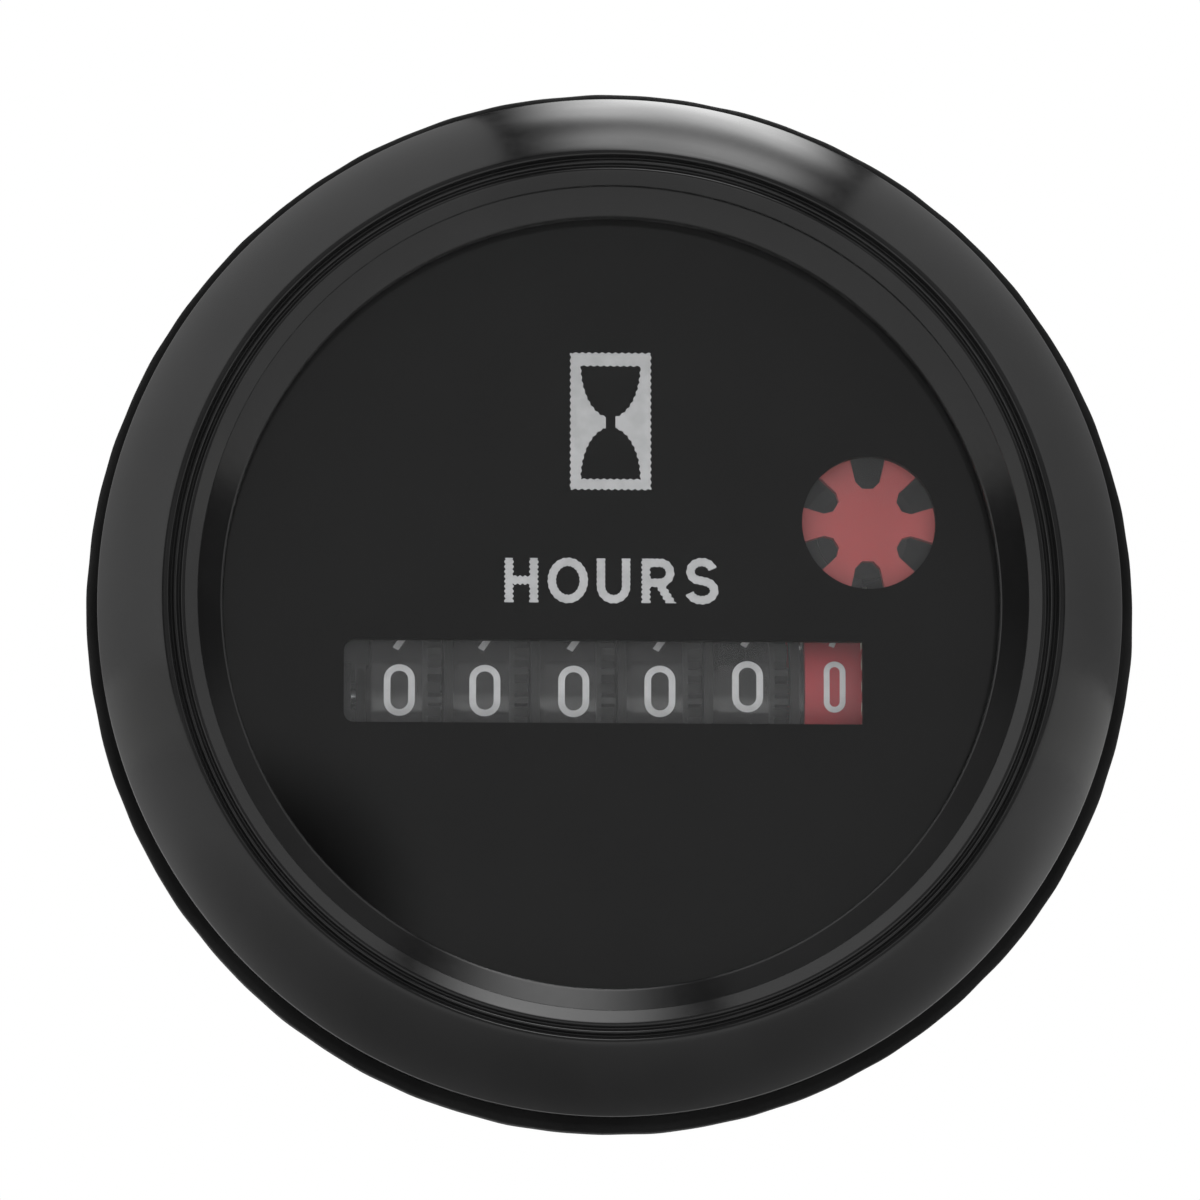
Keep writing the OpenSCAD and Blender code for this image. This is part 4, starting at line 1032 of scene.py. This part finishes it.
def make_world():
    world = bpy.data.worlds.new("studio")
    bpy.context.scene.world = world
    world.use_nodes = True
    tree = world.node_tree
    background = tree.nodes["Background"]
    background.inputs["Color"].default_value = (1, 1, 1, 1)
    path = tree.nodes.new("ShaderNodeLightPath")
    seen = path.outputs["Is Camera Ray"]
    for ray in ("Is Glossy Ray", "Is Transmission Ray"):
        either = tree.nodes.new("ShaderNodeMath")
        either.operation = "MAXIMUM"
        tree.links.new(seen, either.inputs[0])
        tree.links.new(path.outputs[ray], either.inputs[1])
        seen = either.outputs["Value"]
    level = tree.nodes.new("ShaderNodeMapRange")
    level.inputs["To Min"].default_value = WORLD_FILL
    level.inputs["To Max"].default_value = 1.0
    tree.links.new(seen, level.inputs["Value"])
    coord = tree.nodes.new("ShaderNodeTexCoord")
    split = tree.nodes.new("ShaderNodeSeparateXYZ")
    behind = tree.nodes.new("ShaderNodeMapRange")
    behind.inputs["From Min"].default_value = MIRRORED_FADE_SPAN[0]
    behind.inputs["From Max"].default_value = MIRRORED_FADE_SPAN[1]
    behind.inputs["To Max"].default_value = MIRRORED_FADE
    tree.links.new(coord.outputs["Generated"], split.inputs["Vector"])
    tree.links.new(split.outputs["Y"], behind.inputs["Value"])
    fade = tree.nodes.new("ShaderNodeMath")
    fade.operation = "SUBTRACT"
    fade.inputs[0].default_value = 1.0
    beside = tree.nodes.new("ShaderNodeMapRange")
    beside.inputs["From Min"].default_value = MIRRORED_RIGHT_FROM
    beside.inputs["To Max"].default_value = MIRRORED_RIGHT_FADE
    tree.links.new(split.outputs["X"], beside.inputs["Value"])
    both = tree.nodes.new("ShaderNodeMath")
    tree.links.new(behind.outputs["Result"], both.inputs[0])
    tree.links.new(beside.outputs["Result"], both.inputs[1])
    mirrored = product(tree, both.outputs["Value"], path.outputs["Is Glossy Ray"])
    tree.links.new(mirrored, fade.inputs[1])
    strength = product(tree, level.outputs["Result"], fade.outputs["Value"])
    tree.links.new(strength, background.inputs["Strength"])


def make_camera():
    data = bpy.data.cameras.new("camera")
    data.sensor_width = SENSOR
    data.lens = SENSOR * CAMERA_DISTANCE / VIEW_WIDTH
    data.clip_start = CLIP_START * MM
    camera = bpy.data.objects.new("camera", data)
    bpy.context.scene.collection.objects.link(camera)
    target = Vector((0, edge_y, 0))
    out = Vector((
        math.sin(AZIMUTH) * math.cos(ELEVATION),
        -math.cos(AZIMUTH) * math.cos(ELEVATION),
        math.sin(ELEVATION),
    ))
    place = target + out * CAMERA_DISTANCE
    right = Vector((math.cos(AZIMUTH), math.sin(AZIMUTH), 0))
    up = right.cross(-out)
    aim = target - right * AIM_LEFT + up * AIM_UP
    camera.location = place * MM
    camera.rotation_euler = (aim - place).to_track_quat("-Z", "Y").to_euler()
    bpy.context.scene.camera = camera


make_floor()
make_front_card()
make_top_card()
make_low_card()
make_world()
make_camera()
bpy.context.scene.view_settings.view_transform = "Standard"
